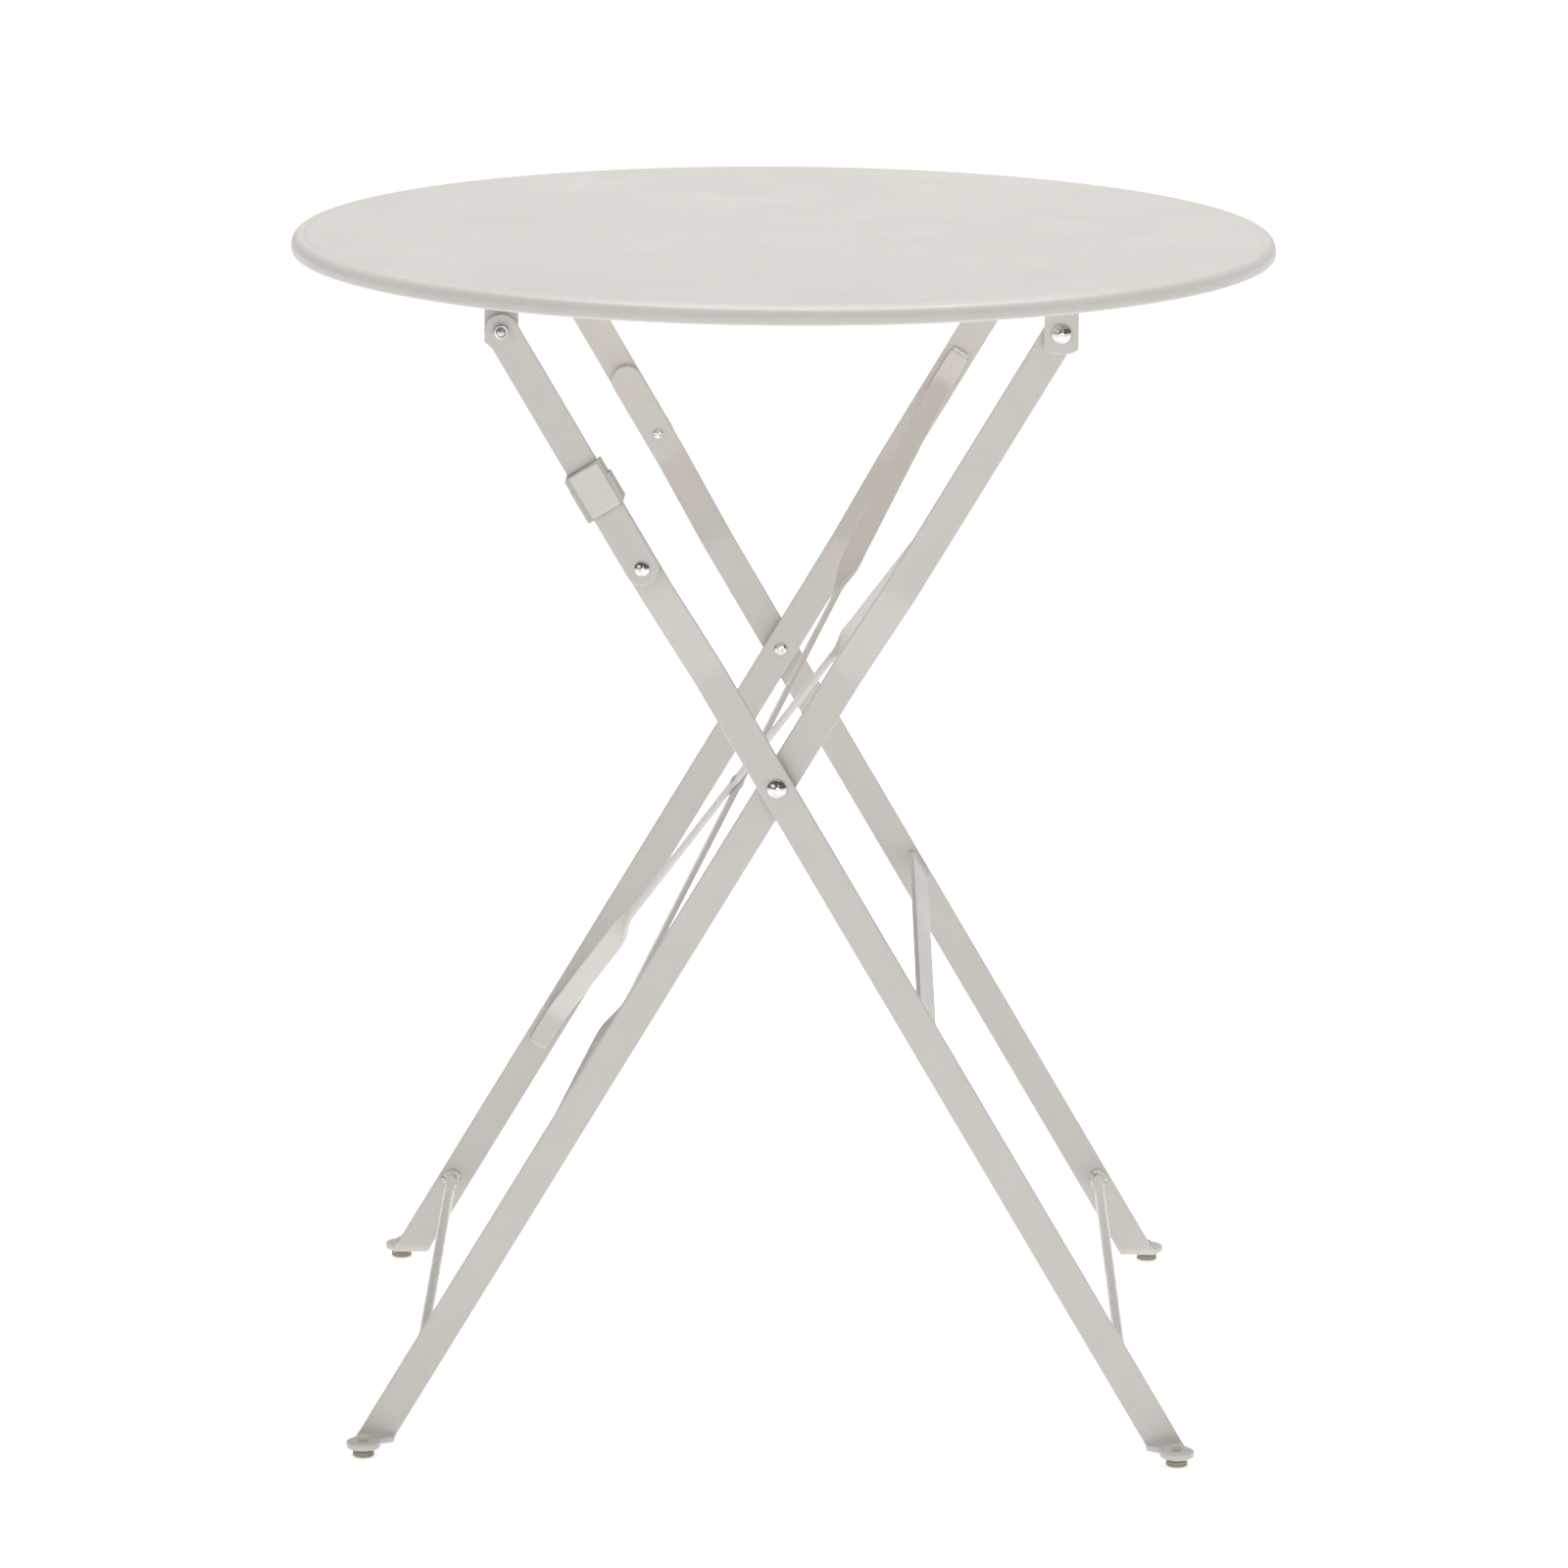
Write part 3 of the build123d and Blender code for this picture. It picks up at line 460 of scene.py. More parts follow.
# ---------------------------------------------------------------- table top
def rim_profile():
    z = TOP_Z
    pts = [(0.0, z), (40.0, z), (90.0, z), (150.0, z), (210.0, z), (260.0, z), (282.0, z), (288.0, z)]
    # shallow pressed groove, then the bead that turns down into the skirt
    pts += [(289.6, z - 0.03), (290.6, z - 0.14), (291.4, z - 0.36), (292.1, z - 0.62), (292.8, z - 0.80), (293.4, z - 0.84),
            (294.0, z - 0.74), (294.6, z - 0.62), (295.2, z - 0.60)]
    pts += [(295.9, z - 0.72), (296.6, z - 1.02), (297.4, z - 1.55), (298.15, z - 2.25), (298.8, z - 3.10), (299.3, z - 4.0),
            (299.65, z - 4.9), (299.88, z - 5.8), (300.0, z - 6.8), (300.0, z - 8.4), (299.96, z - 9.4)]
    # rolled hem
    pts += [(299.7, z - 10.2), (299.2, z - 10.75), (298.5, z - 11.0), (297.8, z - 10.98), (297.15, z - 10.6), (296.85, z - 10.0),
            (296.85, z - 9.2), (297.1, z - 8.6), (297.6, z - 8.2), (298.15, z - 7.9)]
    pts += [(298.45, z - 7.2), (298.4, z - 6.2), (298.2, z - 5.2), (297.7, z - 4.2), (297.0, z - 3.3), (296.1, z - 2.6),
            (295.2, z - 2.1), (294.2, z - 2.0), (293.2, z - 2.05), (292.0, z - 1.9), (291.0, z - 1.5), (289.8, z - 1.26),
            (288.0, z - SHEET), (260.0, z - SHEET), (210.0, z - SHEET), (150.0, z - SHEET), (90.0, z - SHEET), (40.0, z - SHEET), (0.0, z - SHEET)]
    return pts


v, f = lathe([(r, h) for r, h in rim_profile()], (0, 0, 0), (0, 0, 1), 360)
make("pressed_table_top", v, f, M_TOP, "top", "top_paint", ["table_top"])


# ---------------------------------------------------------------- hinge rails
RAIL_TOP = TOP_Z - SHEET
EAR_BOTTOM = PZ - 12.0


def rail_path():
    """Middle line in Y-Z with its outward normal, from the front ear round to the rear ear."""
    rm = 4.0
    y_ear = A_UP + BAR_T / 2
    zc = RAIL_TOP - BAR_T / 2
    pts, nor = [], []
    for z in np.linspace(EAR_BOTTOM, zc - rm, 9):
        pts.append((-y_ear, z)); nor.append((-1.0, 0.0))
    for k in range(1, 12):
        a = math.pi - (math.pi / 2) * k / 12
        pts.append((-y_ear + rm + rm * math.cos(a), zc - rm + rm * math.sin(a))); nor.append((math.cos(a), math.sin(a)))
    for y in np.linspace(-y_ear + rm, y_ear - rm, 25):
        pts.append((y, zc)); nor.append((0.0, 1.0))
    for k in range(1, 12):
        a = math.pi / 2 - (math.pi / 2) * k / 12
        pts.append((y_ear - rm + rm * math.cos(a), zc - rm + rm * math.sin(a))); nor.append((math.cos(a), math.sin(a)))
    for z in np.linspace(zc - rm, EAR_BOTTOM, 9):
        pts.append((y_ear, z)); nor.append((1.0, 0.0))
    return np.array(pts), np.array(nor)


RP, RN = rail_path()
R_CUM = np.concatenate([[0], np.cumsum(np.linalg.norm(np.diff(RP, axis=0), axis=1))])


def rail_surf(x0):
    def surf(ab):
        a, b = ab[:, 0], ab[:, 1]
        y = np.interp(a, R_CUM, RP[:, 0]); z = np.interp(a, R_CUM, RP[:, 1])
        ny = np.interp(a, R_CUM, RN[:, 0]); nz = np.interp(a, R_CUM, RN[:, 1])
        over_lo, over_hi = np.minimum(a, 0), np.maximum(a - R_CUM[-1], 0)
        z = z + over_lo - over_hi
        return np.stack([x0 + b, y, z], 1), np.stack([0 * a, ny, nz], 1)
    return surf


def rail_rows(drop):
    cut = 5.0
    ln = math.hypot(cut, drop)
    ca, cb = 0.6 * drop / ln, 0.6 * cut / ln
    st = [(0.0, HW - cut), (ca, HW - cut + cb), (drop - ca, HW - cb), (drop, HW), (drop + 1.2, HW)]
    end = R_CUM[-1]
    inner = [float(a) for a in R_CUM if drop + 2.0 < a < end - drop - 2.0]
    rows = st + [(a, HW) for a in inner] + [(end - a, h) for a, h in st[::-1]]
    return [(a, h) for a, h in rows], [(a, -h) for a, h in rows]


for x0, drop, name, node in ((-PX, 4.8, "left_hinge_rail", "top_rail_left"), (PX, 2.4, "right_hinge_rail", "top_rail_right")):
    L, R = rail_rows(drop)
    v, f = strip(L, R, rail_surf(x0), BAR_T, 0.9)
    make(name, v, f, M_FRAME, "top", "frame_paint", [node])

parts = []
k = 0
for x0 in (-PX, PX):
    for side in (-1, 1):
        for y0 in (-170.0, 0.0, 170.0):
            k += 1
            path = [(x0 + side * (HW + 0.5), y0 + dy, RAIL_TOP - 0.7) for dy in np.linspace(-12, 12, 9)]
            parts.append(bead(path, 1.75, seed=3.1 * k))
v, f = join_parts(parts)
make("rail_weld_runs", v, f, M_WELD, "top", "frame_paint", ["rail_welds"])


# ---------------------------------------------------------------- long bars
ZC = FLANGE_Z + BAR_T + BEND_R
RM = BEND_R + BAR_T / 2
ARC = RM * math.pi / 2


def ease(x, d=5.2):
    return np.where(x < -d, 0.0, np.where(x > d, x, (x + d) ** 2 / (4 * d)))


def ease_slope(x, d=5.2):
    return np.clip((x + d) / (2 * d), 0, 1)


def bar_surf(d, q_low):
    slope = JOG / (JOG1 - JOG0)
    yc = -(q_low + BAR_T + BEND_R)

    def surf(ab):
        X, V = ab[:, 0], ab[:, 1]
        z = ZC - V
        s = (X - CX) * d[0] + (z - CZ) * d[2]
        q = q_low + BAR_T / 2 + slope * (ease(s - JOG0) - ease(s - JOG1))
        dq = slope * (ease_slope(s - JOG0) - ease_slope(s - JOG1))
        pos = np.stack([X, -q, z], 1)
        nor = np.stack([-dq * d[0], -np.ones_like(X), -dq * d[2]], 1)
        nor /= np.linalg.norm(nor, axis=1)[:, None]
        phi = np.clip(V / RM, 0, math.pi / 2)
        bend = V > 0
        far = np.maximum(V - ARC, 0)
        pos_b = np.stack([X, yc + RM * np.cos(phi) - far, ZC - RM * np.sin(phi)], 1)
        nor_b = np.stack([0 * X, -np.cos(phi), np.sin(phi)], 1)
        return np.where(bend[:, None], pos_b, pos), np.where(bend[:, None], nor_b, nor)
    return surf


def foot_x(d, n, w, z):
    ex, ez = CX + n[0] * w, CZ + n[2] * w
    return ex + d[0] * (z - ez) / d[2]


def long_bar(d, n, q_low, top_s, out):
    """Rows of sheet points from the rounded top end down to the foot; out is the side the pad leans to."""
    def xv(s, w):
        p = cross + d * s + n * w
        return (p[0], ZC - p[2])
    L, R = [], []
    c = top_s - HW
    tip0 = xv(top_s, 0)
    for k in range(1, 13):
        a = math.pi / 2 * (1 - k / 12)
        L.append(xv(c + HW * math.sin(a), HW * math.cos(a)))
        R.append(xv(c + HW * math.sin(a), -HW * math.cos(a)))
    ss = []
    s = c - 2.5
    s_floor = (ZC - CZ) / d[2]
    while s > JOG1 + 10:
        ss.append(s); s -= 12.0
    s = JOG1 + 9
    while s > JOG0 - 10:
        ss.append(s); s -= 1.5
    s = JOG0 - 14.0
    while s > s_floor + 22:
        ss.append(s); s -= 16.0
    for s in ss:
        L.append(xv(s, HW)); R.append(xv(s, -HW))
    # ease from square cuts to the level bend line
    s_l, s_r = (ZC - (CZ + n[2] * HW)) / d[2], (ZC + n[2] * HW - CZ) / d[2]
    s_prev = ss[-1]
    for k in (0.35, 0.65, 0.85):
        L.append(xv(s_prev + (s_l - s_prev) * k, HW)); R.append(xv(s_prev + (s_r - s_prev) * k, -HW))
    for k in range(0, 11):
        V = ARC * k / 10
        z = ZC - RM * math.sin(V / RM)
        L.append((foot_x(d, n, HW, z), V)); R.append((foot_x(d, n, -HW, z), V))
    px = foot_x(d, n, 0, 6.5) + 5.6 * out
    Vp = ARC + (PAD_REACH - BAR_T - BEND_R)
    r = 10.3
    a0 = -25.3
    lx, rx = L[-1][0], R[-1][0]
    sx = 1.0 if lx > rx else -1.0
    t0 = math.radians(a0)
    ends = [(px + sx * r * math.cos(t0), Vp + r * math.sin(t0)), (px - sx * r * math.cos(t0), Vp + r * math.sin(t0))]
    for k in (0.5,):
        L.append((lx + (ends[0][0] - lx) * k, ARC + (ends[0][1] - ARC) * k))
        R.append((rx + (ends[1][0] - rx) * k, ARC + (ends[1][1] - ARC) * k))
    for k in range(0, 14):
        a = math.radians(a0 + (90 - a0) * k / 14)
        L.append((px + sx * r * math.cos(a), Vp + r * math.sin(a)))
        R.append((px - sx * r * math.cos(a), Vp + r * math.sin(a)))
    tip1 = (px, Vp + r)
    return strip(L, R, bar_surf(d, q_low), BAR_T, 0.95, 5, tip0=tip0, tip1=tip1), (px, -(q_low + PAD_REACH))


(va, fa), PAD_A = long_bar(dA, nA, A_LOW, A_TOP, 1.0)
make("outer_bar_front", va, fa, M_FRAME, "outer_frame", "frame_paint", ["leg_a_front"])
make("outer_bar_rear", mirrored(va), fa, M_FRAME, "outer_frame", "frame_paint", ["leg_a_rear"])
(vb, fb), PAD_B = long_bar(dB, nB, B_LOW, B_TOP + HW, -1.0)
make("inner_bar_front", vb, fb, M_FRAME, "inner_frame", "frame_paint", ["leg_b_front"])
make("inner_bar_rear", mirrored(vb), fb, M_FRAME, "inner_frame", "frame_paint", ["leg_b_rear"])


# ---------------------------------------------------------------- links
def link_mesh():
    L, R = [], []
    tip0 = (J_S - HW, 0.0)
    for k in range(1, 13):
        a = math.pi / 2 * (1 - k / 12)
        L.append((J_S - HW * math.sin(a), HW * math.cos(a))); R.append((J_S - HW * math.sin(a), -HW * math.cos(a)))
    for s in np.linspace(J_S, LINK_TOP, 16)[1:-1]:
        L.append((s, HW)); R.append((s, -HW))
    for k in range(0, 12):
        a = math.pi / 2 * k / 12
        L.append((LINK_TOP + HW * math.sin(a), HW * math.cos(a))); R.append((LINK_TOP + HW * math.sin(a), -HW * math.cos(a)))
    tip1 = (LINK_TOP + HW, 0.0)

    def surf(ab):
        s, w = ab[:, 0], ab[:, 1]
        pos = cross[None, :] + s[:, None] * dA + w[:, None] * nA + OUT[None, :] * (LINK_Q + BAR_T / 2)
        return pos, np.repeat(OUT[None, :], len(s), 0)
    return strip(L, R, surf, BAR_T, 0.95, 5, tip0=tip0, tip1=tip1)


v, f = link_mesh()
make("front_link", v, f, M_FRAME, "links", "frame_paint", ["link_front"])
make("rear_link", mirrored(v), f, M_FRAME, "links", "frame_paint", ["link_rear"])


# ---------------------------------------------------------------- flat stretcher and foot rods
def flat_bar():
    y0 = A_LOW
    L = [(-y0, 9.5)] + [(y, 9.5) for y in np.linspace(-y0 + 2, y0 - 2, 40)] + [(y0, 9.5)]
    R = [(a, -b) for a, b in L]
    mid = 4.5 + 1.5

    def surf(ab):
        y, b = ab[:, 0], ab[:, 1]
        bow = 0.35 * np.cos(np.pi * y / (2 * y0))
        pos = cross[None, :] + (-168.0 + b)[:, None] * dA + (mid + 0 * bow)[:, None] * nA
        pos[:, 1] += y
        return pos, np.repeat(nA[None, :], len(y), 0)
    return strip(L, R, surf, 3.0, 0.7, 4)


v, f = flat_bar()
make("rear_flat_stretcher", v, f, M_FRAME, "outer_frame", "frame_paint", ["flat_stretcher"])


def rod(centre, half, r, seed):
    """Drawn steel rod with the faint lumps that thick paint leaves."""
    prof = [(0.0, -half), (r * 0.7, -half), (r, -half + 0.3)]
    prof += [(r, h) for h in np.linspace(-half + 1.0, half - 1.0, 150)]
    prof += [(r, half - 0.3), (r * 0.7, half), (0.0, half)]

    def wobble(rr, h, a):
        k = noise.noise(Vector((math.cos(a) * 0.9, math.sin(a) * 0.9, h * 0.11 + seed)))
        return rr * (1 + 0.022 * k), h
    return lathe(prof, centre, (0, 1, 0), 28, wobble)


rod_a = at(dA, nA, -409.8, 2.5)
rod_b = at(dB, nB, -412.8, -1.9)
v, f = rod(rod_a, A_LOW, 3.3, 2.0)
make("right_foot_rod", v, f, M_ROD, "outer_frame", "frame_paint", ["foot_rod_a"])
v, f = rod(rod_b, B_LOW, 3.3, 7.0)
make("left_foot_rod", v, f, M_ROD, "inner_frame", "frame_paint", ["foot_rod_b"])


# ---------------------------------------------------------------- twisted braces
BW, BT = 13.0, 3.0
TAB = 22.0
HI = (200.0, B_UP - BT / 2)
LO = (-282.0, -(B_LOW - BT / 2))
SLOPE = (HI[1] - LO[1]) / (HI[0] - LO[0])
TW_HI, TW_LO = (96.0, 65.0), (-176.0, -210.0)
MID = -(BT / 2 + 0.05)
BRACE_S = HI[0] - HI[1] / SLOPE


def brace_frames():
    """Centre, across and normal along one brace in (s, w, q) coordinates."""
    def rounded(p0, p1, p2, r, n=14):
        a, b, c = (np.array(p, float) for p in (p0, p1, p2))
        u, v2 = (a - b) / np.linalg.norm(a - b), (c - b) / np.linalg.norm(c - b)
        half = math.acos(float(np.clip(u @ v2, -1, 1))) / 2
        cut = r / math.tan(half)
        s0, s1 = b + u * cut, b + v2 * cut
        cen = b + (u + v2) / np.linalg.norm(u + v2) * (r / math.sin(half))
        a0 = math.atan2(*(s0 - cen)[::-1]); a1 = math.atan2(*(s1 - cen)[::-1])
        da = (a1 - a0 + math.pi) % (2 * math.pi) - math.pi
        return [tuple(cen + r * np.array((math.cos(a0 + da * k / n), math.sin(a0 + da * k / n)))) for k in range(n + 1)]
    start, end = (HI[0] + TAB, HI[1]), (LO[0] - TAB, LO[1])
    line = [start] + rounded(start, HI, LO, 13.0) + rounded(HI, LO, end, 13.0) + [end]
    line = np.array(line)
    cum = np.concatenate([[0], np.cumsum(np.linalg.norm(np.diff(line, axis=0), axis=1))])
    a = np.unique(np.concatenate([np.linspace(0, cum[-1], 420), cum]))
    s = np.interp(a, cum, line[:, 0]); q = np.interp(a, cum, line[:, 1])
    ds, dq = np.gradient(s, a), np.gradient(q, a)
    ln = np.hypot(ds, dq); ds, dq = ds / ln, dq / ln

    def smooth(x):
        x = np.clip(x, 0, 1)
        return x * x * (3 - 2 * x)
    turn = smooth((TW_HI[0] - s) / (TW_HI[0] - TW_HI[1])) * smooth((s - TW_LO[1]) / (TW_LO[0] - TW_LO[1])) * (math.pi / 2)
    off = MID * turn / (math.pi / 2)
    T = ds[:, None] * dB + dq[:, None] * OUT
    C = cross[None, :] + s[:, None] * dB + off[:, None] * nB + q[:, None] * OUT
    n0 = np.cross(T, nB[None, :])
    across = nB[None, :] * np.cos(turn)[:, None] + n0 * np.sin(turn)[:, None]
    nor = -nB[None, :] * np.sin(turn)[:, None] + n0 * np.cos(turn)[:, None]
    return a, C, across, nor


BA, BC, BX, BN = brace_frames()


def brace_surf(ab):
    a, b = ab[:, 0], ab[:, 1]
    col = lambda M: np.stack([np.interp(a, BA, M[:, k]) for k in range(3)], 1)
    c, x, n = col(BC), col(BX), col(BN)
    x /= np.linalg.norm(x, axis=1)[:, None]
    n /= np.linalg.norm(n, axis=1)[:, None]
    return c + x * b[:, None], n


hw, rc, end = BW / 2, 2.2, BA[-1]
corner = [(rc * (1 - math.cos(math.pi / 2 * k / 5)), hw - rc * (1 - math.sin(math.pi / 2 * k / 5))) for k in range(6)]
inner = [float(x) for x in np.linspace(rc + 1.5, end - rc - 1.5, 300)]
L = corner + [(x, hw) for x in inner] + [(end - x, h) for x, h in corner[::-1]]
R = [(x, -h) for x, h in L]
v, f = strip(L, R, brace_surf, BT, 0.75, 4)
make("twisted_brace_one", v, f, M_BRACE, "inner_frame", "frame_paint", ["brace_front_high"])
turned = []
for p in v:
    rel = np.array(p) - cross
    s, w, q = rel @ dB, rel @ nB, rel @ OUT
    turned.append(tuple(at(dB, nB, s, -w, -q)))
make("twisted_brace_two", turned, f, M_BRACE, "inner_frame", "frame_paint", ["brace_rear_high"])

# the small rivet where the braces cross, painted over with the frame
o = at(dB, nB, BRACE_S, 0, 0)
h0 = abs(MID) + BT / 2
dome = [(0.0, -h0 - 1.5), (1.2, -h0 - 1.42), (2.3, -h0 - 1.1), (3.1, -h0 - 0.6), (3.5, -h0 - 0.1), (3.5, -h0 + 0.02), (2.0, -h0 + 0.02)]
prof = dome + [(2.0, 0.0)] + [(r, -h) for r, h in dome[::-1]]
v, f = lathe(prof, o, nB, 40)
make("brace_crossing_rivet", v, f, M_BRACE, "inner_frame", "frame_paint", ["brace_rivet"])


# ---------------------------------------------------------------- rivets, washers, bolts, nuts
def dome_head(base, r, rise, skirt, n=16):
    """From the crown to under the rim of a domed head, heights along the axis."""
    R = (r * r + rise * rise) / (2 * rise)
    full = math.asin(r / R)
    c = base + skirt + rise - R
    pts = [(0.0, base + skirt + rise)]
    for k in range(1, n + 1):
        a = full * k / n
        pts.append((R * math.sin(a), c + R * math.cos(a)))
    pts[-1] = (r - 0.12, base + skirt + 0.10)
    pts += [(r, base + skirt - 0.12), (r, base + 0.18), (r - 0.15, base + 0.02)]
    return pts


def peened_tail(q, r):
    """A hammered rivet tail: a shallow dimpled button, heights along the axis."""
    return [(r * 0.80, q), (r, q - 0.25), (r * 0.97, q - 0.75), (r * 0.84, q - 1.20), (r * 0.62, q - 1.48), (r * 0.36, q - 1.52), (r * 0.14, q - 1.36), (0.0, q - 1.30)]


def star_press(r_max, depth):
    """Cross-shaped dents that the forming tool leaves in a tail."""
    def wobble(r, h, a):
        k = abs(math.cos(2 * a)) ** 6 * min(1.0, r / (r_max * 0.4)) * (1.0 if r < r_max * 0.9 else 0.0)
        return r, h + depth * k
    return wobble


def both_sides(parts):
    v, f = join_parts(parts)
    return join_parts([(v, f), (mirrored(v), f)])


prof = dome_head(A_LOW + BAR_T + 0.1, 5.85, 2.5, 0.8) + [(3.0, A_LOW + BAR_T + 0.02), (3.0, B_LOW + 0.1), (3.0, B_LOW)] + peened_tail(B_LOW, 4.1)
v, f = both_sides([lathe(prof, cross, OUT, 56)])
make("crossing_pivot_rivets", v, f, M_RIVET, "inner_frame", "rivet_metal", ["crossing_rivets"])

pr = np.array((PX, 0.0, PZ))
prof = dome_head(A_UP + BAR_T + 0.1, 5.85, 2.5, 0.8) + [(3.0, A_UP + BAR_T + 0.02), (3.0, B_UP)] + peened_tail(B_UP, 4.1)
v, f = both_sides([lathe(prof, pr, OUT, 56)])
make("right_ear_rivets", v, f, M_RIVET, "inner_frame", "rivet_metal", ["top_rivets"])

ring = [(3.05, 0.0), (6.7, 0.0), (7.0, 0.25), (7.0, GAP - 0.55), (6.7, GAP - 0.3), (3.05, GAP - 0.3)]


def washer(origin, q0):
    segs = 48
    verts, faces = [], []
    u, w = np.array((1.0, 0, 0)), np.array((0, 0, 1.0))
    n = len(ring)
    for k in range(segs):
        a = 2 * math.pi * k / segs
        for r, h in ring:
            verts.append(tuple(np.array(origin) + OUT * (q0 + h) + (u * math.cos(a) + w * math.sin(a)) * r))
    for k in range(segs):
        j = (k + 1) % segs
        for i in range(n):
            i2 = (i + 1) % n
            faces.append((k * n + i, j * n + i, j * n + i2, k * n + i2))
    return verts, faces


v, f = both_sides([washer(cross, B_LOW + BAR_T), washer(pr, B_UP + BAR_T)])
make("spacer_washers", v, f, M_ZINC, "inner_frame", "zinc", ["pivot_washers"])

prof = dome_head(LINK_Q + BAR_T, 4.6, 2.0, 0.6) + [(2.5, LINK_Q + BAR_T), (2.5, LINK_Q + 0.05), (0.0, LINK_Q + 0.05)]
v, f = both_sides([lathe(prof, J, OUT, 48)])
make("link_rivet_domes", v, f, M_RIVET, "links", "rivet_metal", ["link_rivet_heads"])
prof = [(0.0, A_UP + BAR_T - 0.05), (2.5, A_UP + BAR_T - 0.05), (2.5, A_UP + 0.1)] + peened_tail(A_UP, 3.3)
v, f = both_sides([lathe(prof, J, OUT, 48, star_press(3.3, 0.35))])
make("link_rivet_buttons", v, f, M_RIVET, "outer_frame", "rivet_metal", ["link_rivet_tails"])


def hexagon(base, height, flat, chamfers, bore=0.0, seg=72, origin=(0, 0, 0)):
    """Hexagon with turned corners; chamfers says which ends (low, high) have them."""
    cone0 = flat * 0.955
    hs = [0.0, 0.12, 0.25, 0.38, 0.5, 0.62, 0.75]
    lev = [(h, cone0 + h / math.tan(math.radians(30)) if chamfers[0] else 99.0) for h in (hs if chamfers[0] else [0.0])]
    top = [(height - h, cone0 + h / math.tan(math.radians(30)) if chamfers[1] else 99.0) for h in (hs[::-1] if chamfers[1] else [0.0])]
    lev += top
    verts, faces, rows = [], [], []
    o = np.array(origin, float)
    u, w = np.array((1.0, 0, 0)), np.array((0, 0, 1.0))

    def row(h, rad):
        r0 = len(verts)
        for k in range(seg):
            a = 2 * math.pi * k / seg
            r = rad(a)
            verts.append(tuple(o + OUT * (base + h) + (u * math.cos(a) + w * math.sin(a)) * r))
        rows.append(r0)
    if bore > 0:
        row(0.35, lambda a: bore)
        row(0.0, lambda a: bore + 0.35)
    for h, cone in lev:
        row(h, lambda a, c=cone: min(hex_radius(a + math.radians(12), flat), c))
    if bore > 0:
        row(height, lambda a: bore + 0.35)
        row(height - 0.35, lambda a: bore)
    pairs = list(zip(rows[:-1], rows[1:]))
    if bore > 0:
        pairs.append((rows[-1], rows[0]))
    for A, B in pairs:
        for k in range(seg):
            j = (k + 1) % seg
            faces.append((A + k, A + j, B + j, B + k))
    if bore <= 0:
        for base_i, hh, flip in ((rows[0], 0.0, True), (rows[-1], height, False)):
            c = len(verts)
            verts.append(tuple(o + OUT * (base + hh)))
            for k in range(seg):
                j = (k + 1) % seg
                faces.append((base_i + k, base_i + j, c) if not flip else (base_i + j, base_i + k, c))
    return verts, faces


def threaded(base, length, r, pitch, origin, seg=40):
    """A bolt end with a real helical thread and a turned point."""
    verts, faces, rows = [], [], []
    o = np.array(origin, float)
    u, w = np.array((1.0, 0, 0)), np.array((0, 0, 1.0))
    steps = int(length / pitch * 10)
    for i in range(steps + 1):
        h = length * i / steps
        fade = min(1.0, (length - h) / 0.5)
        r0 = len(verts)
        for k in range(seg):
            a = 2 * math.pi * k / seg
            ph = ((h + pitch * k / seg) / pitch) % 1.0
            depth = 0.42 * abs(2 * ph - 1)
            rr = (r - depth * min(1.0, h / 0.4)) - (1 - fade) * 0.55
            verts.append(tuple(o + OUT * (base + h) + (u * math.cos(a) + w * math.sin(a)) * rr))
        rows.append(r0)
    for A, B in zip(rows[:-1], rows[1:]):
        for k in range(seg):
            j = (k + 1) % seg
            faces.append((A + k, A + j, B + j, B + k))
    for base_i, h, sgn in ((rows[0], 0.0, 1), (rows[-1], length, 1)):
        c = len(verts)
        verts.append(tuple(o + OUT * (base + h + (0.12 if h else 0.0))))
        for k in range(seg):
            faces.append((base_i + k, base_i + (k + 1) % seg, c))
    return verts, faces


pl = np.array((-PX, 0.0, PZ))
NUT_Q, NUT_T = LINK_Q + BAR_T + 0.3, 4.4
bolt = join_parts([hexagon(A_UP - 3.6, 3.6, 4.0, (True, False), origin=pl),
                   threaded(A_UP - 0.5, NUT_Q + NUT_T + 1.8 - A_UP + 0.4, 2.48, 0.8, pl)])
v, f = both_sides([bolt])
make("link_pivot_bolts", v, f, M_ZINC, "top", "zinc", ["link_bolts"])
v, f = both_sides([hexagon(NUT_Q, NUT_T, 3.97, (True, True), bore=2.4, origin=pl)])
make("link_pivot_nuts", v, f, M_ZINC, "top", "zinc", ["link_nuts"])


# ---------------------------------------------------------------- glides
def glide(x, y):
    prof = [(0.0, 0.0), (4.2, 0.0), (5.4, 0.12), (6.1, 0.45), (6.45, 0.95), (6.5, 1.35), (6.42, 1.62), (6.05, 1.80), (5.98, 1.95),
            (6.05, 2.12), (6.40, 2.30), (6.48, 2.60), (6.42, 3.05), (6.1, 3.42), (5.5, 3.60), (4.6, 3.66), (4.4, 3.78), (4.4, 5.42), (4.2, 5.58),
            (2.9, 5.6), (2.88, 9.6), (2.88, 12.0), (2.72, 12.55), (2.3, 12.9), (1.4, 13.02), (0.0, 13.0)]
    return lathe(prof, (x, y, 0.0), (0, 0, 1), 48)


for name, (px, py), body, node in (("outer_frame_glides", PAD_A, "outer_frame", "glides_a"), ("inner_frame_glides", PAD_B, "inner_frame", "glides_b")):
    v, f = join_parts([glide(px, py), glide(px, -py)])
    make(name, v, f, M_GLIDE, body, "glide_plastic", [node])


# ---------------------------------------------------------------- lock sleeve
S0, SM, S1 = 196.5, 217.5, 227.0
LOUT = LINK_Q + BAR_T
Q_BACK, Q_FACE = A_UP - 0.4 - 1.6, LOUT + 0.4 + 2.4


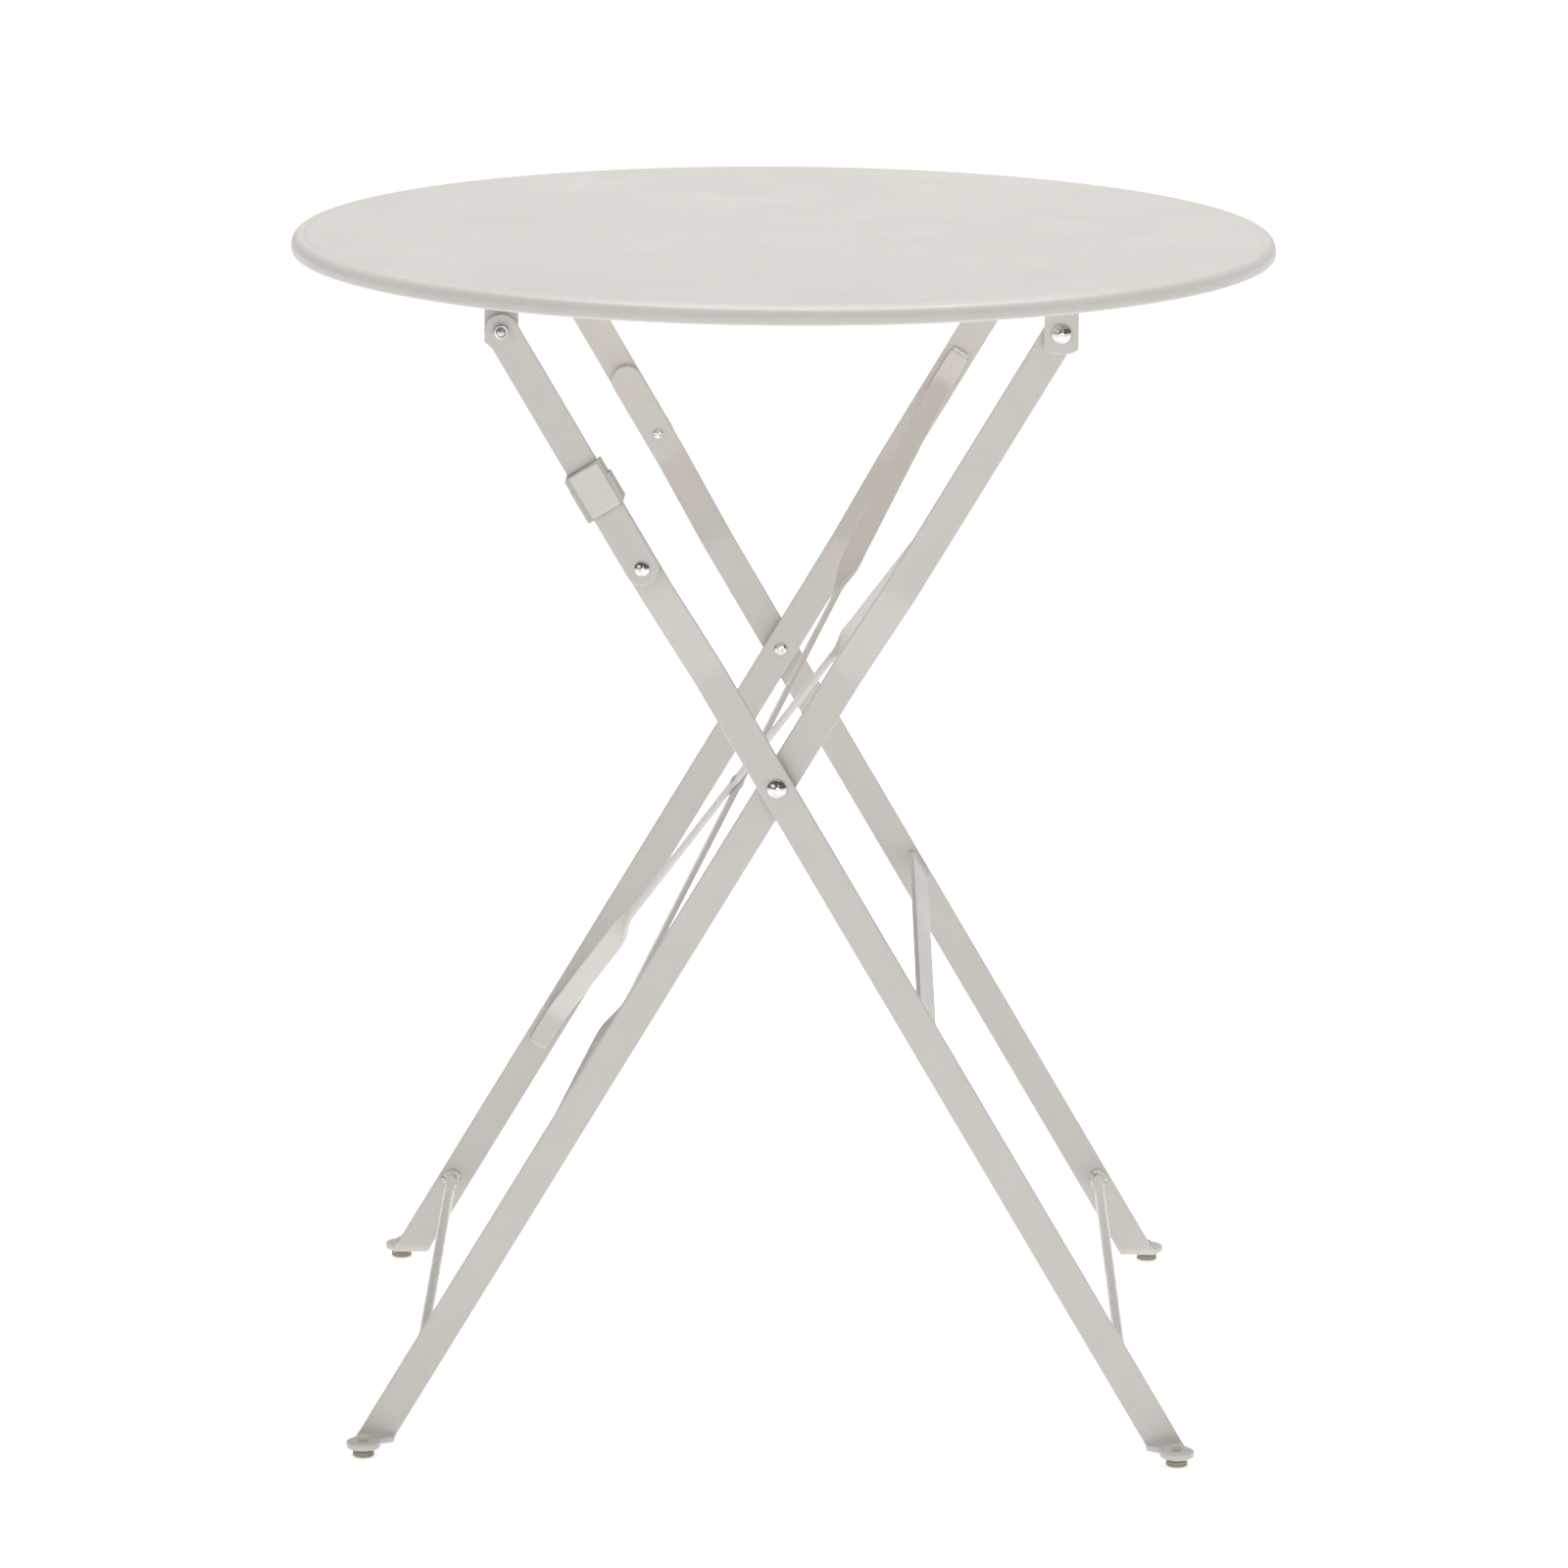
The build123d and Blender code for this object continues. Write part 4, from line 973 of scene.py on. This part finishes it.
def prism(section, s_lo, s_hi, cuts=None):
    """Bent-plate section (w, q) run along the bar from s_lo to s_hi."""
    verts, faces = [], []
    n = len(section)
    for s in (s_lo, s_hi):
        for w, q in section:
            verts.append(tuple(at(dA, nA, s + (cuts(w, s == s_hi) if cuts else 0.0), w, q)))
    for i in range(n):
        j = (i + 1) % n
        faces.append((i, j, n + j, n + i))
    faces.append(tuple(range(n)))
    faces.append(tuple(range(2 * n - 1, n - 1, -1)))
    return verts, faces


def rounded_section(pts, radii, n=5):
    out = []
    m = len(pts)
    for i in range(m):
        p, a, b = (np.array(pts[k], float) for k in (i, (i - 1) % m, (i + 1) % m))
        r = radii[i]
        if r <= 0:
            out.append(tuple(p)); continue
        u, v2 = (a - p) / np.linalg.norm(a - p), (b - p) / np.linalg.norm(b - p)
        half = math.acos(float(np.clip(u @ v2, -1, 1))) / 2
        cut = r / math.tan(half)
        s0, s1 = p + u * cut, p + v2 * cut
        cen = p + (u + v2) / np.linalg.norm(u + v2) * (r / math.sin(half))
        a0 = math.atan2(*(s0 - cen)[::-1]); a1 = math.atan2(*(s1 - cen)[::-1])
        da = (a1 - a0 + math.pi) % (2 * math.pi) - math.pi
        out += [tuple(cen + r * np.array((math.cos(a0 + da * k / n), math.sin(a0 + da * k / n)))) for k in range(n + 1)]
    return out


IN = HW + 0.5
lower = rounded_section(
    [(-13.6, Q_BACK), (HW, Q_BACK), (HW, A_UP - 0.4), (-IN, A_UP - 0.4), (-IN, LOUT + 0.4), (IN, LOUT + 0.4), (IN, LINK_Q), (13.9, LINK_Q), (13.9, Q_FACE), (-13.6, Q_FACE)],
    [1.4, 0.3, 0.3, 0.5, 0.5, 0.5, 0.3, 0.5, 2.0, 2.0])
upper = rounded_section(
    [(-13.3, LINK_Q - 2.3), (-3.5, LINK_Q - 2.3), (-3.5, LINK_Q - 0.3), (-IN, LINK_Q - 0.3), (-IN, LOUT + 0.4), (IN, LOUT + 0.4), (IN, LINK_Q), (12.6, LINK_Q), (12.6, Q_FACE), (-13.3, Q_FACE)],
    [1.2, 0.3, 0.3, 0.5, 0.5, 0.5, 0.3, 0.5, 2.0, 2.0])


def lower_cut(w, high):
    return 0.0 if high else max(0.0, w - 9.6) * 0.95


def upper_cut(w, high):
    return -max(0.0, -w - 10.2) * 0.9 if high else 0.0


v1, f1 = prism(lower, S0, SM + 0.02, lower_cut)
v2, f2 = prism(upper, SM, S1, upper_cut)
sleeve = make("sliding_lock_sleeve", *join_parts([(v1, f1), (v2, f2)]), M_SLEEVE, "sleeve", "sleeve_paint", ["lock_sleeve"], sharp=0.35)

# the raised pressed panel on its face
L = []
rc = 1.8
for k in range(6):
    a = math.pi / 2 * k / 5
    L.append((S0 + 1.0 + rc * (1 - math.cos(a)), 9.6 - rc * (1 - math.sin(a))))
for k in range(1, 8):
    L.append((S0 + 1.0 + rc + (S1 - S0 - 2.2 - 2 * rc) * k / 8, 9.6))
for k in range(6):
    a = math.pi / 2 * (1 - k / 5)
    L.append((S1 - 1.2 - rc * (1 - math.cos(a)), 9.6 - rc * (1 - math.sin(a))))
R = [(a, -b) for a, b in L]


def panel_surf(ab):
    s, w = ab[:, 0], ab[:, 1]
    pos = cross[None, :] + s[:, None] * dA + w[:, None] * nA + OUT[None, :] * (Q_FACE - 0.1)
    return pos, np.repeat(OUT[None, :], len(s), 0)


v, f = strip(L, R, panel_surf, 1.4, 0.6, 4)
panel = make("lock_sleeve_face", v, f, M_PANEL, "sleeve", "sleeve_paint", [])


# ---------------------------------------------------------------- welds of the two frames
def rod_weld(centre, q, r, seed, n=30):
    pts = []
    for k in range(n):
        a = 2 * math.pi * k / n
        wob = 1 + 0.13 * math.sin(3 * a + seed) + 0.06 * math.sin(5 * a + 2 * seed)
        pts.append((centre[0] + (r + 0.7) * wob * math.cos(a), -q + 0.3 * math.sin(2 * a + seed), centre[2] + (r + 0.7) * wob * math.sin(a)))
    return bead(pts, 1.9, closed=True, seed=seed, lumps=0.45, ripple=0.25, pitch=2.3)


def spatter(centre, q, seed, n=5):
    rng = np.random.default_rng(int(seed * 10))
    out = []
    for _ in range(n):
        a, d = rng.uniform(0, 2 * math.pi), rng.uniform(4.6, 6.4)
        r = rng.uniform(0.35, 0.7)
        out.append(lathe([(0, -r * 0.6), (r * 0.9, -r * 0.3), (r, 0.0), (r * 0.8, r * 0.45), (r * 0.4, r * 0.72), (0, r * 0.8)],
                         (centre[0] + d * math.cos(a), -q, centre[2] + d * math.sin(a)), (0, 1, 0), 10))
    return out


parts = [rod_weld(rod_a, A_LOW - 0.9, 3.3, 1.7)]
edge = [tuple(at(dA, nA, s, 6.0 - 1.0, A_LOW - 0.9)) for s in np.linspace(-177.0, -159.0, 9)]
edge2 = [tuple(at(dA, nA, s, 6.0 + 1.2, A_LOW - 0.7)) for s in np.linspace(-176.0, -160.0, 9)]
parts += [bead(edge, 1.5, seed=4.4, lumps=0.35), bead(edge2, 1.15, seed=8.9, lumps=0.35)]
v, f = both_sides(parts)
make("outer_frame_welds", v, f, M_WELD, "outer_frame", "frame_paint", ["weld_beads_a"])

parts = [rod_weld(rod_b, B_LOW - 0.9, 3.3, 5.3)]
for s_end, sg, q in ((HI[0] + TAB, 1, B_UP), (LO[0] - TAB, -1, B_LOW)):
    path = [tuple(at(dB, nB, s_end + sg * 0.8, w, q - 0.9)) for w in np.linspace(-6.0, 6.0, 7)]
    parts.append(bead(path, 1.6, seed=2.2 + s_end * 0.01, lumps=0.3))
v, f = both_sides(parts)
make("inner_frame_welds", v, f, M_WELD, "inner_frame", "frame_paint", ["weld_beads_b"])


# ---------------------------------------------------------------- floor, light and camera
floor_me = bpy.data.meshes.new("studio_floor")
floor_me.from_pydata([(-30, -30, 0), (30, -30, 0), (30, 30, 0), (-30, 30, 0)], [], [(0, 1, 2, 3)])
floor = bpy.data.objects.new("studio_floor", floor_me)
scene.collection.objects.link(floor)
fm, fnt, fb_, fcoord = nodes_of("pale_floor")
ftone = ramp(fnt, noise_tex(fnt, fcoord, 0.8, 2.0).outputs[0], [(0.3, (0.93, 0.93, 0.925)), (0.7, (0.95, 0.95, 0.945))])
fnt.links.new(ftone.outputs[0], fb_.inputs["Base Color"])
fb_.inputs["Roughness"].default_value = 0.9
fb_.inputs["Specular IOR Level"].default_value = 0.1
fb_.inputs["Emission Color"].default_value = (1.0, 1.0, 0.995, 1.0)
fsep = fnt.nodes.new("ShaderNodeSeparateXYZ")
fnt.links.new(fcoord.outputs["Object"], fsep.inputs[0])
fnt.links.new(map_range(fnt, fsep.outputs[1], 0.8, 5.0, 0.53, 0.80), fb_.inputs["Emission Strength"])
# seen from below the floor is clear, so that the underside can be looked at
fgeo = fnt.nodes.new("ShaderNodeNewGeometry")
fclear = fnt.nodes.new("ShaderNodeBsdfTransparent")
fmix = fnt.nodes.new("ShaderNodeMixShader")
fout = next(n for n in fnt.nodes if n.type == "OUTPUT_MATERIAL")
fnt.links.new(fgeo.outputs["Backfacing"], fmix.inputs[0])
fnt.links.new(fb_.outputs[0], fmix.inputs[1])
fnt.links.new(fclear.outputs[0], fmix.inputs[2])
fnt.links.new(fmix.outputs[0], fout.inputs[0])
fm.cycles.emission_sampling = "NONE"
floor_me.materials.append(fm)

world = bpy.data.worlds.new("studio")
scene.world = world
world.use_nodes = True
wn = world.node_tree
wn.nodes.clear()
wout = wn.nodes.new("ShaderNodeOutputWorld")
wbg = wn.nodes.new("ShaderNodeBackground")
wtc = wn.nodes.new("ShaderNodeTexCoord")
wsep = wn.nodes.new("ShaderNodeSeparateXYZ")
wn.links.new(wtc.outputs["Generated"], wsep.inputs[0])
wramp = wn.nodes.new("ShaderNodeValToRGB")
wel = wramp.color_ramp.elements
wel[0].position, wel[0].color = 0.0, (0.46, 0.46, 0.46, 1)
wel[1].position, wel[1].color = 1.0, (0.36, 0.36, 0.36, 1)
wn.links.new(wsep.outputs[2], wramp.inputs[0])
wn.links.new(wramp.outputs[0], wbg.inputs[0])
wbg.inputs[1].default_value = 1.0
wn.links.new(wbg.outputs[0], wout.inputs[0])


def area(name, loc, target, size, size_y, power, colour=(1, 1, 1)):
    ld = bpy.data.lights.new(name, "AREA")
    ld.shape = "RECTANGLE"
    ld.size, ld.size_y = size, size_y
    ld.energy = power
    ld.color = colour
    ob = bpy.data.objects.new(name, ld)
    scene.collection.objects.link(ob)
    ob.location = loc
    ob.rotation_mode = "QUATERNION"
    ob.rotation_quaternion = (Vector(target) - Vector(loc)).to_track_quat("-Z", "Y")
    return ob


area("overhead_softbox", (0.2, 0.4, 3.2), (0, 0, 0.5), 2.6, 2.2, 76)
area("front_left_softbox", (-2.2, -2.6, 1.9), (0, 0, 0.4), 1.6, 1.6, 7)
area("front_fill", (0.8, -5.6, 0.75), (0, 0, 0.4), 2.2, 1.0, 22)


def glossy_card(name, corners, tone):
    """A studio card off camera that only mirror-like parts can see."""
    me = bpy.data.meshes.new(name)
    me.from_pydata(corners, [], [(0, 1, 2, 3)])
    ob = bpy.data.objects.new(name, me)
    scene.collection.objects.link(ob)
    cm = bpy.data.materials.new(name)
    cm.use_nodes = True
    cn = cm.node_tree
    cn.nodes.clear()
    co = cn.nodes.new("ShaderNodeOutputMaterial")
    ce = cn.nodes.new("ShaderNodeEmission")
    ce.inputs[0].default_value = (tone[0], tone[1], tone[2], 1)
    ce.inputs[1].default_value = 1.0
    cn.links.new(ce.outputs[0], co.inputs[0])
    cm.cycles.emission_sampling = "NONE"
    me.materials.append(cm)
    ob.visible_camera = False
    ob.visible_diffuse = False
    ob.visible_shadow = False
    ob.visible_transmission = False
    ob.visible_volume_scatter = False
    return ob

scene.view_settings.view_transform = "Standard"
scene.view_settings.look = "None"
scene.view_settings.exposure = 0.0
scene.view_settings.gamma = 1.0

cam_data = bpy.data.cameras.new("camera")
cam = bpy.data.objects.new("camera", cam_data)
scene.collection.objects.link(cam)
yaw, pitch, roll = -0.00340511, 0.21434377, 0.00698287
fwd = np.array((math.sin(yaw) * math.cos(pitch), math.cos(yaw) * math.cos(pitch), -math.sin(pitch)))
right = np.array((math.cos(yaw), -math.sin(yaw), 0.0))
up = np.cross(right, fwd)
r2 = math.cos(roll) * right + math.sin(roll) * up
u2 = -math.sin(roll) * right + math.cos(roll) * up
m = Matrix((
    (r2[0], u2[0], -fwd[0], 0.018926),
    (r2[1], u2[1], -fwd[1], -4.813643),
    (r2[2], u2[2], -fwd[2], 1.415118),
    (0, 0, 0, 1),
))
cam.matrix_world = m
cam_data.sensor_fit = "HORIZONTAL"
cam_data.sensor_width = 36.0
cam_data.lens = 182.69
cam_data.clip_start, cam_data.clip_end = 0.1, 60.0
scene.camera = cam

# dark room behind and above the camera, with two bright windows in it
glossy_card("dark_room_card", [(-9, -8.5, 0.95), (9, -8.5, 0.95), (9, -8.5, 9.0), (-9, -8.5, 9.0)], (0.135, 0.120, 0.108))
glossy_card("dark_ceiling_card", [(-9, -8.5, 7.0), (9, -8.5, 7.0), (9, 2.0, 7.0), (-9, 2.0, 7.0)], (0.135, 0.120, 0.108))
glossy_card("dark_wall_card_left", [(-9, -8.5, 0.9), (-9, 1.0, 0.9), (-9, 1.0, 7.0), (-9, -8.5, 7.0)], (0.15, 0.135, 0.122))
glossy_card("dark_wall_card_right", [(9, -8.5, 0.9), (9, 1.0, 0.9), (9, 1.0, 7.0), (9, -8.5, 7.0)], (0.15, 0.135, 0.122))
glossy_card("window_card_left", [(-5.4, -8.3, 2.3), (-2.2, -8.3, 2.3), (-2.2, -8.3, 5.6), (-5.4, -8.3, 5.6)], (0.85, 0.83, 0.80))
glossy_card("window_card_right", [(0.8, -8.3, 2.9), (3.6, -8.3, 2.9), (3.6, -8.3, 6.0), (0.8, -8.3, 6.0)], (0.70, 0.68, 0.65))
